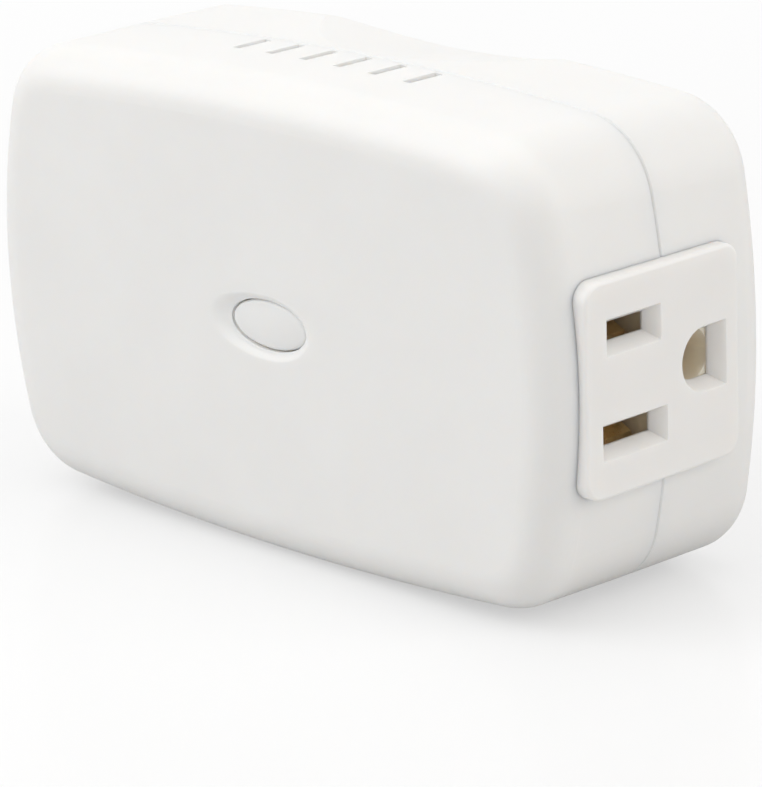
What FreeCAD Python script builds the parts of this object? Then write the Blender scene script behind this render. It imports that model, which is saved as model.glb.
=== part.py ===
import FreeCAD, Part
import os
import re

import Sketcher
from FreeCAD import Placement, Rotation, Vector

# Plug-in lamp dimmer module, in millimetres.
# It lies on its long side: +X to the outlet, +Y to the wall, +Z up.
# The origin is the middle of the flat face that meets the wall plate.

# Driving sizes: name, value, and what the value is
SIZES = [
    ("body_width", 103.4, "across both shells, at the middle of the sides"),
    ("body_height", 61.6, "over both shells, at the middle of the top"),
    ("body_depth", 37.8, "front face to wall face"),
    ("seam_setback", 18.6, "wall face to the seam between the shells"),
    ("corner_round", 10.7, "outline corner, seen from the front"),
    ("front_side_bow", 6.4, "how far the sides bow out at the front face"),
    ("seam_side_bow", 5.0, "the same at the seam"),
    ("rear_side_bow", 3.6, "the same at the wall face"),
    ("top_bow", 2.6, "how far the top and bottom bow out"),
    ("front_draft", 0.1, "mould draft of the front shell at its face"),
    ("rear_draft", 0.1, "mould draft of the rear shell at its face"),
    ("front_edge_round", 5.5, "rounding of the front face's edge"),
    ("rear_edge_round", 4.5, "rounding of the wall face's edge"),
    ("wall", 2.2, "wall of both shells"),
    ("seam_chamfer", 0.25, "half of the groove that marks the seam"),
    ("lip_height", 1.6, "tongue on the rear shell"),
    ("lip_wall", 1.0, "wall of that tongue"),
    ("lip_gap", 0.1, "clearance round the tongue"),
    ("grip_half_width", 24.5, "finger grip, half its width"),
    ("grip_depth", 2.9, "finger grip, depth at the wall face"),
    ("grip_start", 0.15, "finger grip, depth where it starts"),
    ("grip_backing", 4.1, "rib inside a finger grip, in from the outline"),
    ("grip_setback", 1.5, "from the seam to where the grip starts"),
    ("vent_count", 6, "slots in the top and in the bottom"),
    ("vent_pitch", 6.15, "one slot to the next"),
    ("vent_width", 1.4, "width of a slot"),
    ("vent_length", 5.7, "length of a slot"),
    ("vent_edge", 0.9, "from the seam to the slots"),
    ("post_inset", 11.7, "side of the housing to a housing post"),
    ("post_drop", 10.8, "top or bottom of the housing to a housing post"),
    ("post_round", 3.5, "front housing post, radius"),
    ("post_gap", 0.1, "between a front post and a rear post"),
    ("well_round", 3.1, "counterbore for a screw head, radius"),
    ("well_depth", 12.0, "counterbore, from the wall face"),
    ("well_wall", 1.5, "wall round the counterbore"),
    ("screw_round", 1.3, "housing screw's shank, radius"),
    ("screw_head_round", 2.7, "housing screw's head, radius"),
    ("screw_head_height", 1.9, "housing screw's head"),
    ("screw_length", 16.0, "housing screw under its head"),
    ("screw_fit", 0.05, "round a shank in its pilot hole"),
    ("screw_clearance", 0.4, "round a shank in its through hole"),
    ("button_across", 2.0, "button's middle, right of the front face's middle"),
    ("button_width", 13.3, "button, long axis"),
    ("button_height", 6.1, "button, short axis"),
    ("button_recess", 0.5, "button's face behind the front face"),
    ("button_gap", 0.2, "round the button in its hole"),
    ("button_travel", 0.5, "how far the button goes in"),
    ("button_flange", 1.1, "how far the hidden rim stands out"),
    ("button_flange_wall", 1.0, "thickness of that rim"),
    ("button_stem_round", 1.6, "stem behind the button, radius"),
    ("button_stem", 0.7, "length of the stem"),
    ("button_edge_round", 0.4, "rounding of the button's edge"),
    ("dish_width", 21.0, "shallow dish round the button, long axis"),
    ("dish_height", 10.2, "shallow dish, short axis"),
    ("dish_depth", 1.1, "shallow dish, at its middle"),
    ("collar_height", 1.2, "collar behind the button's hole"),
    ("collar_wall", 1.6, "wall of that collar"),
    ("plate_side", 26.4, "outlet plate, each way"),
    ("plate_setback", 20.4, "wall face to the outlet plate's middle"),
    ("plate_proud", 1.0, "outlet plate's face beyond the side wall"),
    ("plate_wall", 2.4, "outlet plate's face, thickness"),
    ("plate_skirt", 1.5, "outlet plate's skirt, thickness"),
    ("plate_reach", 6.7, "outlet plate, face to back of its flange"),
    ("plate_corner", 2.4, "outlet plate's corner radius"),
    ("plate_edge_round", 0.5, "rounding of the outlet plate's edge"),
    ("plate_gap", 0.12, "round the outlet plate in the shells"),
    ("plate_flange", 2.2, "how far the flange stands out"),
    ("plate_flange_wall", 1.6, "thickness of that flange"),
    ("plate_flange_front", 32.0, "wall face to the flange's front end"),
    ("blade_pitch", 12.7, "between the two blades, and between the two slots"),
    ("ground_pitch", 11.9, "blade line to ground pin, and slots to ground hole"),
    ("slot_line_setback", 25.5, "wall face to the middle of the outlet's slots"),
    ("slot_width", 2.33, "outlet slot, across the blade"),
    ("hot_slot_length", 7.2, "shorter slot"),
    ("neutral_slot_length", 9.0, "longer slot"),
    ("ground_hole_round", 3.0, "D-shaped hole, radius of its round end"),
    ("ground_hole_flat", 2.7, "D-shaped hole, middle of that radius to the flat"),
    ("ground_hole_shift", 0.4, "that middle beyond the ground pin's axis"),
    ("slot_lead_in", 1.1, "how far each opening's funnel stands out"),
    ("slot_lead_depth", 2.1, "depth of that funnel"),
    ("fit_gap", 0.1, "between moulded pieces that nest"),
    ("hole_reserve", 0.5, "pilot hole or recess beyond the end of what goes in"),
    ("socket_reach", 15.2, "outlet's inner block, front to back"),
    ("socket_corner", 0.8, "chamfer of the block's long edges"),
    ("socket_bay_length", 11.0, "bay for a blade contact"),
    ("socket_bay_height", 5.8, "bay for a blade contact"),
    ("socket_bay_round", 3.5, "bay for the ground contact, radius"),
    ("socket_cover_wall", 1.6, "cover behind the inner block"),
    ("peg_up", 8.6, "cover's pegs, from the middle"),
    ("peg_round", 1.0, "cover's pegs, radius"),
    ("peg_length", 3.0, "cover's pegs"),
    ("contact_wall", 0.7, "brass strip"),
    ("contact_gap", 1.2, "between the two leaves of a contact"),
    ("contact_flare", 1.0, "how far each leaf's mouth opens"),
    ("contact_reach", 13.0, "contact, base to mouth"),
    ("contact_mouth", 2.0, "length of the flared mouth"),
    ("hot_contact_width", 6.4, "leaves of the shorter contact"),
    ("neutral_contact_width", 8.2, "leaves of the longer contact"),
    ("ground_contact_round", 2.45, "ground contact's bore, radius"),
    ("ground_contact_reach", 6.4, "ground contact, base to mouth"),
    ("contact_slit", 0.8, "slit across the ground contact"),
    ("leg_width", 2.0, "strip from a contact to the board"),
    ("leg_inset", 2.2, "main board's right edge to those strips"),
    ("blade_width", 6.35, "plug blade"),
    ("blade_thickness", 1.5, "plug blade"),
    ("blade_length", 16.5, "plug blade beyond the wall face"),
    ("blade_tip", 1.6, "taper at the blade's tip"),
    ("blade_tip_corner", 1.0, "how much that taper takes off each side"),
    ("blade_hole_round", 1.8, "hole near the blade's tip, radius"),
    ("blade_hole_place", 11.9, "that hole, from the wall face"),
    ("blade_tail", 3.2, "width of the blade's solder tail"),
    ("pin_round", 2.4, "ground pin, radius"),
    ("pin_length", 20.6, "ground pin beyond the wall face"),
    ("pin_land_round", 2.8, "ground pin inside the rear wall, radius"),
    ("shoulder", 0.6, "how far the hidden shoulders of the blades and the pin stand out"),
    ("pin_tail_round", 1.2, "ground pin's solder tail, radius"),
    ("plug_gap", 0.2, "round a blade where it leaves the rear shell"),
    ("carrier_width", 30.0, "block that holds the blades"),
    ("carrier_height", 24.0, "block that holds the blades"),
    ("carrier_gap", 0.1, "round a blade in that block"),
    ("carrier_foot", 1.2, "feet between that block and the board"),
    ("carrier_foot_round", 1.5, "those feet, radius and distance from the edges"),
    ("carrier_floor", 0.7, "block's floor under a blade's shoulder"),
    ("board_thickness", 1.6, "both circuit boards"),
    ("board_standoff", 6.3, "rear wall to the main board"),
    ("board_side_gap", 3.1, "inner side wall to the main board's left edge"),
    ("board_cover_gap", 1.7, "outlet's cover to the main board's right edge"),
    ("board_edge_gap", 2.1, "inner wall to the main board's top and bottom edges"),
    ("board_corner", 8.0, "main board's two left corners"),
    ("board_small_corner", 1.5, "main board's two right corners"),
    ("post_hole_gap", 0.3, "round a housing post in the main board"),
    ("post_from_left", 3.6, "main board's left edge to its middle post"),
    ("post_from_right", 4.6, "main board's right edge to its other posts"),
    ("post_from_edge", 4.0, "main board's top or bottom edge to those posts"),
    ("board_post_round", 2.8, "post under the main board, radius"),
    ("board_screw_round", 1.0, "board screw's shank, radius"),
    ("board_screw_head", 2.2, "board screw's head, radius"),
    ("board_screw_head_height", 1.4, "board screw's head"),
    ("board_screw_length", 6.0, "board screw under its head"),
    ("screw_hole_gap", 0.2, "round a shank in its board"),
    ("lead_clearance", 0.2, "round a lead in its hole"),
    ("lead_stub", 1.0, "lead's end beyond the board"),
    ("wire_round", 0.45, "round leads, radius"),
    ("wire_bend", 0.9, "bend of a round lead, radius"),
    ("lead_pitch", 2.54, "between leads in a row"),
    ("lead_row", 3.81, "from the middle of a moulded part to its leads"),
    ("lead_thickness", 0.4, "flat leads"),
    ("leg_half", 0.4, "triac's legs, half their width"),
    ("control_inset", 2.8, "main board's right edge to the control board's"),
    ("control_width", 42.8, "control board"),
    ("control_height", 28.4, "control board"),
    ("control_post_round", 2.5, "post under the control board, radius"),
    ("control_post_inset", 3.0, "control board's other edges to its posts"),
    ("control_post_right", 6.5, "control board's right edge to its posts"),
    ("switch_side", 6.0, "tact switch, each way"),
    ("switch_height", 3.5, "tact switch's body"),
    ("plunger_round", 1.7, "tact switch's plunger, radius"),
    ("plunger_reach", 0.8, "plunger beyond the switch's body"),
    ("plunger_depth", 1.2, "plunger inside the switch's body"),
    ("plunger_gap", 0.08, "round the plunger"),
    ("press_gap", 0.1, "button's stem to the plunger"),
    ("sink_inset", 9.6, "main board's right edge to the heat sink"),
    ("sink_length", 46.0, "heat sink"),
    ("sink_edge", 0.5, "main board's top edge to the heat sink's fins"),
    ("sink_wall", 2.0, "heat sink's plate"),
    ("sink_fin", 3.2, "heat sink's fins"),
    ("sink_fin_wall", 1.2, "heat sink's fins"),
    ("sink_fin_count", 8, "heat sink's fins"),
    ("sink_reach", 19.5, "heat sink above the board"),
    ("sink_pin_across", 18.0, "heat sink's pins, from the triac's middle"),
    ("sink_pin_round", 0.8, "heat sink's pins, radius"),
    ("pad_wall", 0.3, "insulating pad under the triac"),
    ("pad_margin", 0.4, "how far that pad stands out round the triac"),
    ("triac_inset", 31.6, "main board's right edge to the triac's middle"),
    ("triac_width", 10.0, "triac's case and tab"),
    ("triac_case", 9.2, "triac's case, along its leads"),
    ("triac_tab", 6.3, "triac's tab beyond the case"),
    ("triac_thickness", 4.4, "triac's case"),
    ("triac_tab_wall", 1.3, "triac's tab"),
    ("triac_lift", 3.0, "triac's case above the board"),
    ("triac_hole_round", 1.8, "hole in the triac's tab, radius"),
    ("triac_leg_drop", 0.3, "triac's legs below the middle of its case"),
    ("clamp_screw_round", 1.5, "screw through that hole, radius"),
    ("clamp_head_round", 2.8, "its head, radius"),
    ("clamp_head_height", 1.6, "its head"),
    ("clamp_slot", 0.7, "slot in its head, width"),
    ("clamp_slot_depth", 0.8, "slot in its head, depth"),
    ("choke_inset", 20.4, "main board's left edge to the choke's middle"),
    ("choke_up", -2.6, "choke's middle"),
    ("choke_round", 10.4, "choke's core, outer radius"),
    ("choke_bore", 5.6, "choke's core, bore radius"),
    ("choke_core_height", 8.0, "choke's core"),
    ("choke_wire", 1.1, "choke's winding, thickness"),
    ("choke_gap", 0.05, "winding to core"),
    ("choke_turn", 320.0, "how far round the winding goes"),
    ("film_inset", 28.1, "main board's right edge to the film capacitor's left end"),
    ("film_length", 18.0, "film capacitor"),
    ("film_edge", 1.2, "main board's bottom edge to the film capacitor"),
    ("film_width", 8.0, "film capacitor"),
    ("film_corner", 0.8, "film capacitor's rounded edges"),
    ("film_lead_inset", 1.8, "film capacitor's end to its lead"),
    ("film_height", 14.0, "film capacitor above the board"),
    ("varistor_inset", 38.6, "main board's right edge to the varistor's middle"),
    ("varistor_edge", 5.0, "main board's bottom edge to the varistor's middle"),
    ("varistor_round", 6.6, "varistor's disc, radius"),
    ("varistor_thickness", 4.2, "varistor's disc"),
    ("varistor_corner", 1.4, "rounding of that disc's edge"),
    ("varistor_lift", 1.6, "varistor's disc above the board"),
    ("varistor_reach", 3.75, "varistor's leads, from its middle"),
    ("fuse_inset", 20.8, "main board's left edge to the fuse's middle"),
    ("fuse_edge", 11.1, "main board's top edge to the fuse's middle"),
    ("fuse_length", 20.0, "fuse"),
    ("fuse_round", 2.4, "fuse's glass, radius"),
    ("fuse_cap_round", 2.6, "fuse's caps, radius"),
    ("fuse_cap", 5.0, "length of a cap"),
    ("fuse_lift", 3.4, "fuse's axis above the board"),
    ("clip_wall", 0.5, "fuse clip's strip"),
    ("clip_width", 4.0, "fuse clip, along the fuse"),
    ("can_inset", 17.1, "main board's right edge to the large electrolytic capacitor's middle"),
    ("can_up", -8.0, "large electrolytic capacitor's middle"),
    ("can_round", 5.0, "large electrolytic capacitor, radius"),
    ("can_height", 14.0, "large electrolytic capacitor"),
    ("small_can_inset", 8.0, "main board's right edge to the small electrolytic capacitor's middle"),
    ("small_can_up", -8.0, "small electrolytic capacitor's middle"),
    ("small_can_round", 3.2, "small electrolytic capacitor, radius"),
    ("small_can_height", 8.0, "small electrolytic capacitor"),
    ("can_groove", 0.4, "groove round both capacitors, depth"),
    ("can_groove_width", 0.7, "groove round both capacitors, width"),
    ("can_foot", 1.5, "both capacitors below that groove"),
    ("can_lead_pitch", 3.6, "between a capacitor's leads"),
    ("resistor_inset", 22.6, "main board's right edge to the dropper resistors' left end"),
    ("resistor_length", 10.0, "dropper resistor's body"),
    ("resistor_round", 1.9, "dropper resistor's body, radius"),
    ("resistor_corner", 0.9, "rounding of its ends"),
    ("resistor_up", 7.6, "lower dropper resistor"),
    ("resistor_pitch", 4.4, "between the dropper resistors"),
    ("resistor_reach", 1.3, "from a resistor's end to its lead"),
    ("coupler_inset", 22.1, "main board's left edge to the optocoupler's middle"),
    ("coupler_edge", 4.7, "main board's bottom edge to the optocoupler's middle"),
    ("coupler_length", 8.4, "optocoupler"),
    ("coupler_width", 6.2, "optocoupler"),
    ("coupler_height", 3.4, "optocoupler"),
    ("bridge_inset", 11.1, "main board's right edge to the bridge rectifier's middle"),
    ("bridge_up", 1.0, "bridge rectifier's middle"),
    ("bridge_height", 2.6, "bridge rectifier"),
    ("header_inset", 5.2, "main board's right edge to the board-to-board header's middle"),
    ("header_low", -1.0, "header's lowest pin"),
    ("header_pitch", 2.54, "header's pins"),
    ("header_count", 5, "header's pins"),
    ("header_pin", 0.64, "header's square pins"),
    ("header_block", 2.5, "header's moulded block, thickness"),
    ("chip_inset", 15.3, "control board's right edge to the controller chip's middle"),
    ("chip_up", -7.8, "controller chip's middle"),
    ("chip_length", 9.8, "controller chip"),
    ("chip_width", 6.4, "controller chip"),
    ("chip_height", 1.8, "controller chip"),
    ("chip_lead_count", 8, "controller chip's leads on each side"),
    ("chip_lead_reach", 1.2, "controller chip's leads beyond its body"),
    ("chip_lead_pitch", 1.2, "controller chip's leads"),
    ("chip_lead_width", 0.45, "controller chip's leads"),
    ("crystal_inset", 28.3, "control board's right edge to the crystal's middle"),
    ("crystal_up", -9.8, "crystal's middle"),
    ("crystal_length", 8.0, "crystal's can"),
    ("crystal_width", 3.6, "crystal's can"),
    ("crystal_height", 3.2, "crystal's can"),
    ("shield_inset", 19.4, "control board's right edge to the radio shield's left side"),
    ("shield_side", 9.0, "radio shield"),
    ("shield_low", 3.4, "radio shield's lower side"),
    ("shield_height", 2.4, "radio shield"),
    ("shield_wall", 0.25, "radio shield's sheet"),
]

doc = FreeCAD.newDocument("lamp_dimmer_module")
sheet = doc.addObject("Spreadsheet::Sheet", "sizes")
for row, (alias, number, note) in enumerate(SIZES, 1):
    sheet.set(f"A{row}", alias)
    sheet.set(f"B{row}", str(number))
    sheet.set(f"C{row}", note)
    sheet.setAlias(f"B{row}", alias)
doc.recompute()

NAMES = {alias for alias, _number, _note in SIZES}


def formula(text):
    """Turns a formula written with the sheet's names into one that an object can be bound to."""
    return re.sub(
        r"[a-z][a-z_]+",
        lambda word: f"sizes.{word.group()}" if word.group() in NAMES else word.group(),
        text)


def number_of(text):
    """The formula's present value."""
    return float(sheet.evalExpression(formula(text)))


def bind(item, **formulas):
    """Binds properties of an object to formulas; two underscores stand for a dot."""
    for name, text in formulas.items():
        item.setExpression(name.replace("__", "."), formula(text))
    return item


# Places that several pieces share, measured along Y unless the name says otherwise
FRONT = "(-body_depth)"
SEAM = "(-seam_setback)"
REAR_INNER = "(-wall)"
BOARD_BACK = "(-wall - board_standoff)"
BOARD_FRONT = "(-wall - board_standoff - board_thickness)"
BUTTON_FACE = "(-body_depth + button_recess)"
COLLAR_END = "(-body_depth + wall + collar_height)"
FLANGE_END = "(-body_depth + wall + collar_height + fit_gap + button_flange_wall)"
STEM_END = f"({FLANGE_END} + button_stem)"
PLUNGER_TIP = f"({STEM_END} + press_gap)"
CONTROL_FRONT = f"({PLUNGER_TIP} + plunger_reach + switch_height)"
CONTROL_BACK = f"({CONTROL_FRONT} + board_thickness)"
PLATE_FACE_X = "(body_width / 2 + plate_proud)"
SOCKET_FACE_X = "(body_width / 2 + plate_proud - plate_wall - fit_gap)"
SOCKET_BACK_X = f"({SOCKET_FACE_X} - socket_reach)"
SLOT_LINE = "(-slot_line_setback)"
GROUND_LINE = "(-slot_line_setback + ground_pitch)"
BLADE_X = "(-ground_pitch / 2)"
PIN_X = "(ground_pitch / 2)"
POST_ACROSS, POST_UP = "(body_width / 2 - post_inset)", "(body_height / 2 - post_drop)"
POSTS = [(POST_ACROSS, POST_UP), (f"(-{POST_ACROSS})", POST_UP),
         (f"(-{POST_ACROSS})", f"(-{POST_UP})"), (POST_ACROSS, f"(-{POST_UP})")]
# The main board's edges: its left one and its height follow the housing, its right one the outlet
BOARD_LEFT = "(wall + board_side_gap - body_width / 2)"
BOARD_RIGHT = f"({SOCKET_BACK_X} - fit_gap - socket_cover_wall - board_cover_gap)"
BOARD_HALF = "(body_height / 2 - wall - board_edge_gap)"
CONTROL_RIGHT = f"({BOARD_RIGHT} - control_inset)"
CONTROL_LEFT = f"({CONTROL_RIGHT} - control_width)"
LEG_X = f"({BOARD_RIGHT} - leg_inset)"
TRIAC_X = f"({BOARD_RIGHT} - triac_inset)"
SINK_RIGHT = f"({BOARD_RIGHT} - sink_inset)"
SINK_LEFT = f"({SINK_RIGHT} - sink_length)"
SINK_UP = f"({BOARD_HALF} - sink_edge - sink_fin - sink_wall)"
CHOKE_X = f"({BOARD_LEFT} + choke_inset)"
FILM_LEFT, FILM_LOW = f"({BOARD_RIGHT} - film_inset)", f"(film_edge - {BOARD_HALF})"
VARISTOR_X, VARISTOR_UP = f"({BOARD_RIGHT} - varistor_inset)", f"(varistor_edge - {BOARD_HALF})"
FUSE_X, FUSE_UP = f"({BOARD_LEFT} + fuse_inset)", f"({BOARD_HALF} - fuse_edge)"
CAN_X, SMALL_CAN_X = f"({BOARD_RIGHT} - can_inset)", f"({BOARD_RIGHT} - small_can_inset)"
RESISTOR_LEFT = f"({BOARD_RIGHT} - resistor_inset)"
COUPLER_X, COUPLER_UP = f"({BOARD_LEFT} + coupler_inset)", f"(coupler_edge - {BOARD_HALF})"
BRIDGE_X, HEADER_X = f"({BOARD_RIGHT} - bridge_inset)", f"({BOARD_RIGHT} - header_inset)"
CHIP_X, CRYSTAL_X = f"({CONTROL_RIGHT} - chip_inset)", f"({CONTROL_RIGHT} - crystal_inset)"
SHIELD_LEFT = f"({CONTROL_RIGHT} - shield_inset)"


def body_named(label):
    body = doc.addObject("PartDesign::Body", label + "_body")
    body.Label = label
    return body


def feature(body, kind, name, **formulas):
    """Adds a PartDesign feature to the body, with its sizes bound."""
    item = body.newObject("PartDesign::" + kind, f"{body.Name}_{name}")
    return bind(item, **formulas)


class Profile:
    """A sketch on one of its body's origin planes, every size of which is bound to the sheet.

    Plane XZ has its normal towards -Y, plane YZ towards +X and plane XY towards +Z.
    """

    def __init__(self, body, name, plane, place="0"):
        self.sketch = body.newObject("Sketcher::SketchObject", f"{body.Name}_{name}")
        support = next(item for item in body.Origin.OriginFeatures if item.Role == plane + "_Plane")
        self.sketch.AttachmentSupport = [(support, "")]
        self.sketch.MapMode = "FlatFace"
        away = f"-({place})" if plane == "XZ" else place
        bind(self.sketch, AttachmentOffset__Base__z=away)

    def rule(self, kind, *where, size=None):
        """Adds a constraint; where ends before the size, which is a formula."""
        if size is None:
            self.sketch.addConstraint(Sketcher.Constraint(kind, *where))
            return
        index = self.sketch.addConstraint(Sketcher.Constraint(kind, *where, number_of(size)))
        name = f"size{index}"
        self.sketch.renameConstraint(index, name)
        self.sketch.setExpression("Constraints." + name, formula(size))

    def locate(self, geometry, point, across, up):
        """Fixes a point of a piece of geometry at two formulas."""
        self.rule("DistanceX", -1, 1, geometry, point, size=across)
        self.rule("DistanceY", -1, 1, geometry, point, size=up)

    def polygon(self, corners):
        """A closed outline of straight lines through the corners, each a pair of formulas."""
        spots = [Vector(number_of(across), number_of(up), 0) for across, up in corners]
        first = self.sketch.GeometryCount
        count = len(spots)
        for index, spot in enumerate(spots):
            self.sketch.addGeometry(Part.LineSegment(spot, spots[(index + 1) % count]), False)
        for index, (across, up) in enumerate(corners):
            self.rule("Coincident", first + index, 2, first + (index + 1) % count, 1)
            self.locate(first + index, 1, across, up)
        return self

    def rectangle(self, left, right, low, high):
        return self.polygon([(left, low), (right, low), (right, high), (left, high)])

    def circle(self, across, up, radius):
        centre = Vector(number_of(across), number_of(up), 0)
        index = self.sketch.addGeometry(Part.Circle(centre, Vector(0, 0, 1), number_of(radius)), False)
        self.locate(index, 3, across, up)
        self.rule("Radius", index, size=radius)
        return self

    def ellipse(self, across, up, width, height):
        """An ellipse with its long axis across."""
        centre = Vector(number_of(across), number_of(up), 0)
        end = centre + Vector(number_of(width) / 2, 0, 0)
        top = centre + Vector(0, number_of(height) / 2, 0)
        index = self.sketch.addGeometry(Part.Ellipse(end, top, centre), False)
        self.sketch.exposeInternalGeometry(index)
        self.locate(index, 3, across, up)
        self.rule("Horizontal", index + 1)
        self.rule("Distance", index + 1, size=width)
        self.rule("Distance", index + 2, size=height)
        return self

    def d_hole(self, across, up, radius, flat):
        """A half circle on the left, closed by two level sides and an upright flat on the right."""
        centre = Vector(number_of(across), number_of(up), 0)
        tall, away = Vector(0, number_of(radius), 0), Vector(number_of(flat), 0, 0)
        arc = self.sketch.addGeometry(
            Part.Arc(centre + tall, centre - Vector(tall.y, 0, 0), centre - tall), False)
        corners = [centre - tall, centre - tall + away, centre + tall + away, centre + tall]
        for start, end in zip(corners, corners[1:]):
            self.sketch.addGeometry(Part.LineSegment(start, end), False)
        for step in range(4):
            self.rule("Coincident", arc + step, 2, arc + (step + 1) % 4, 1)
        for point in (1, 2):
            self.rule("Vertical", arc, point, arc, 3)
        for side, way in ((1, "Horizontal"), (2, "Vertical"), (3, "Horizontal")):
            self.rule(way, arc + side)
        self.locate(arc, 3, across, up)
        self.rule("Radius", arc, size=radius)
        self.rule("DistanceX", arc, 3, arc + 2, 1, size=flat)
        return self

    def housing(self, inset, side_bow, top_bow="top_bow"):
        """The housing's outline: four bowed sides joined by four round corners, drawn in by inset."""
        wide, high = f"(body_width / 2 - ({inset}))", f"(body_height / 2 - ({inset}))"
        side = f"((body_height ^ 2 / 4 + {side_bow} ^ 2) / (2 * {side_bow}) - ({inset}))"
        crown = f"((body_width ^ 2 / 4 + {top_bow} ^ 2) / (2 * {top_bow}) - ({inset}))"
        corner = f"(corner_round - ({inset}))"
        half, tall, big, flat, small = (number_of(text) for text in (wide, high, side, crown, corner))
        side_centre, top_centre = Vector(half - big, 0, 0), Vector(0, tall - flat, 0)
        middle = crossing(side_centre, big - small, top_centre, flat - small)
        side_end = side_centre + (middle - side_centre).normalize() * big
        top_end = top_centre + (middle - top_centre).normalize() * flat
        between = middle + ((side_end + top_end) / 2 - middle).normalize() * small
        arcs = []
        for turn_x, turn_y in ((1, 1), (-1, 1), (-1, -1), (1, -1)):
            ends = [Vector(spot.x * turn_x, spot.y * turn_y, 0) for spot in (side_end, between, top_end)]
            arcs.append(ends if turn_x * turn_y > 0 else ends[::-1])
        first = self.sketch.GeometryCount
        tops = [Vector(half, 0, 0), Vector(0, tall, 0), Vector(-half, 0, 0), Vector(0, -tall, 0)]
        for index, corner_arc in enumerate(arcs):
            before = arcs[index - 1]
            self.sketch.addGeometry(Part.Arc(before[2], tops[index], corner_arc[0]), False)
            self.sketch.addGeometry(Part.Arc(*corner_arc), False)
        for index in range(8):
            self.rule("Tangent", first + index, 2, first + (index + 1) % 8, 1)
        right, top, left, low = (first + step for step in (0, 2, 4, 6))
        for edge in (right, left):
            self.rule("PointOnObject", edge, 3, -1)
        for edge in (top, low):
            self.rule("PointOnObject", edge, 3, -2)
        self.rule("Radius", right, size=side)
        self.rule("Radius", top, size=crown)
        self.rule("Radius", first + 1, size=corner)
        self.rule("DistanceX", -1, 1, right, 3, size=f"{wide} - {side}")
        self.rule("DistanceY", -1, 1, top, 3, size=f"{high} - {crown}")
        self.rule("DistanceX", -1, 1, left, 3, size=f"{side} - {wide}")
        self.rule("DistanceY", -1, 1, low, 3, size=f"{crown} - {high}")
        self.rule("Equal", right, left)
        self.rule("Equal", top, low)
        for corner_index in (3, 5, 7):
            self.rule("Equal", first + 1, first + corner_index)
        return self


def crossing(first, first_reach, second, second_reach):
    """Where two circles cross, on the side away from the origin's lower left."""
    span = second - first
    apart = span.Length
    along = (first_reach ** 2 - second_reach ** 2 + apart ** 2) / (2 * apart)
    aside = (first_reach ** 2 - along ** 2) ** 0.5
    spots = [first + span * (along / apart) + Vector(-span.y, span.x, 0) * (sign * aside / apart)
             for sign in (1, -1)]
    return max(spots, key=lambda spot: spot.x + spot.y)


def pad(profile, length, back=False):
    """Pads the profile along its plane's normal, or against it."""
    body = profile.sketch.getParentGeoFeatureGroup()
    item = feature(body, "Pad", "pad", Length=length)
    item.Profile = profile.sketch
    item.Reversed = back
    return item


def pocket(profile, length=None, back=False, both=False, narrows="0"):
    """Cuts the profile against its plane's normal, or along it, or through all both ways.

    The cut narrows by an angle from each side as it goes in.
    """
    body = profile.sketch.getParentGeoFeatureGroup()
    doc.recompute()
    before = body.Shape.Volume
    item = feature(body, "Pocket", "pocket")
    item.Profile = profile.sketch
    item.Reversed = back
    if length is None:
        item.Type = "ThroughAll"
        item.Midplane = both
    else:
        bind(item, Length=length, TaperAngle=f"-({narrows})")
    doc.recompute()
    if not body.Shape.Volume < before:
        raise RuntimeError(f"{item.Name} cuts nothing")
    return item


def loft(kind, profile, *others):
    """A ruled loft from the profile through the others in turn."""
    body = profile.sketch.getParentGeoFeatureGroup()
    item = feature(body, kind, "loft")
    item.Profile = profile.sketch
    item.Sections = [other.sketch for other in others]
    item.Ruled = True
    doc.recompute()
    return item


def edges_where(item, test):
    """Names of the edges whose middle and ends all pass the test."""
    names = []
    for index, edge in enumerate(item.Shape.Edges):
        first, last = edge.ParameterRange
        spots = [edge.valueAt(first + (last - first) * share) for share in (0, 0.3, 0.5, 0.7, 1)]
        if all(test(spot) for spot in spots):
            names.append(f"Edge{index + 1}")
    return names


def soften(kind, body, test, size):
    """Fillets or chamfers the edges of the body's latest feature that pass the test."""
    base = body.Tip
    doc.recompute()
    item = feature(body, kind, kind.lower())
    names = edges_where(base, test)
    if not names:
        raise RuntimeError(f"{item.Name} finds no edges")
    item.Base = (base, names)
    bind(item, **{"Radius" if kind == "Fillet" else "Size": size})
    doc.recompute()
    return item


def near(first, second):
    return abs(first - second) < 0.001


def on_y(place):
    level = number_of(place)
    return lambda spot: near(spot.y, level)


def shell_half(label, face, seam, face_bow, draft, edge_round, towards_wall):
    """One half of the housing, hollow, with its face's edge rounded and half a groove at its seam."""
    body = body_named(label)
    inner_face = f"({face} - wall)" if towards_wall else f"({face} + wall)"
    rim = f"({seam} + seam_chamfer)" if towards_wall else f"({seam} - seam_chamfer)"
    outer_seam = Profile(body, "outer_seam", "XZ", seam).housing("seam_chamfer", "seam_side_bow")
    outer_rim = Profile(body, "outer_rim", "XZ", rim).housing("0", "seam_side_bow")
    outer_face = Profile(body, "outer_face", "XZ", face).housing(draft, face_bow)
    outer = [outer_seam, outer_rim, outer_face]
    loft("AdditiveLoft", *(outer[::-1] if towards_wall else outer))
    soften("Fillet", body, on_y(face), edge_round)
    inner_seam = Profile(body, "inner_seam", "XZ", seam).housing("wall", "seam_side_bow")
    inner_end = Profile(body, "inner_face", "XZ", inner_face).housing(f"wall + {draft}", face_bow)
    inner = [inner_seam, inner_end]
    loft("SubtractiveLoft", *(inner[::-1] if towards_wall else inner))
    soften("Fillet", body, on_y(inner_face), f"{edge_round} - wall")
    return body


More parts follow.
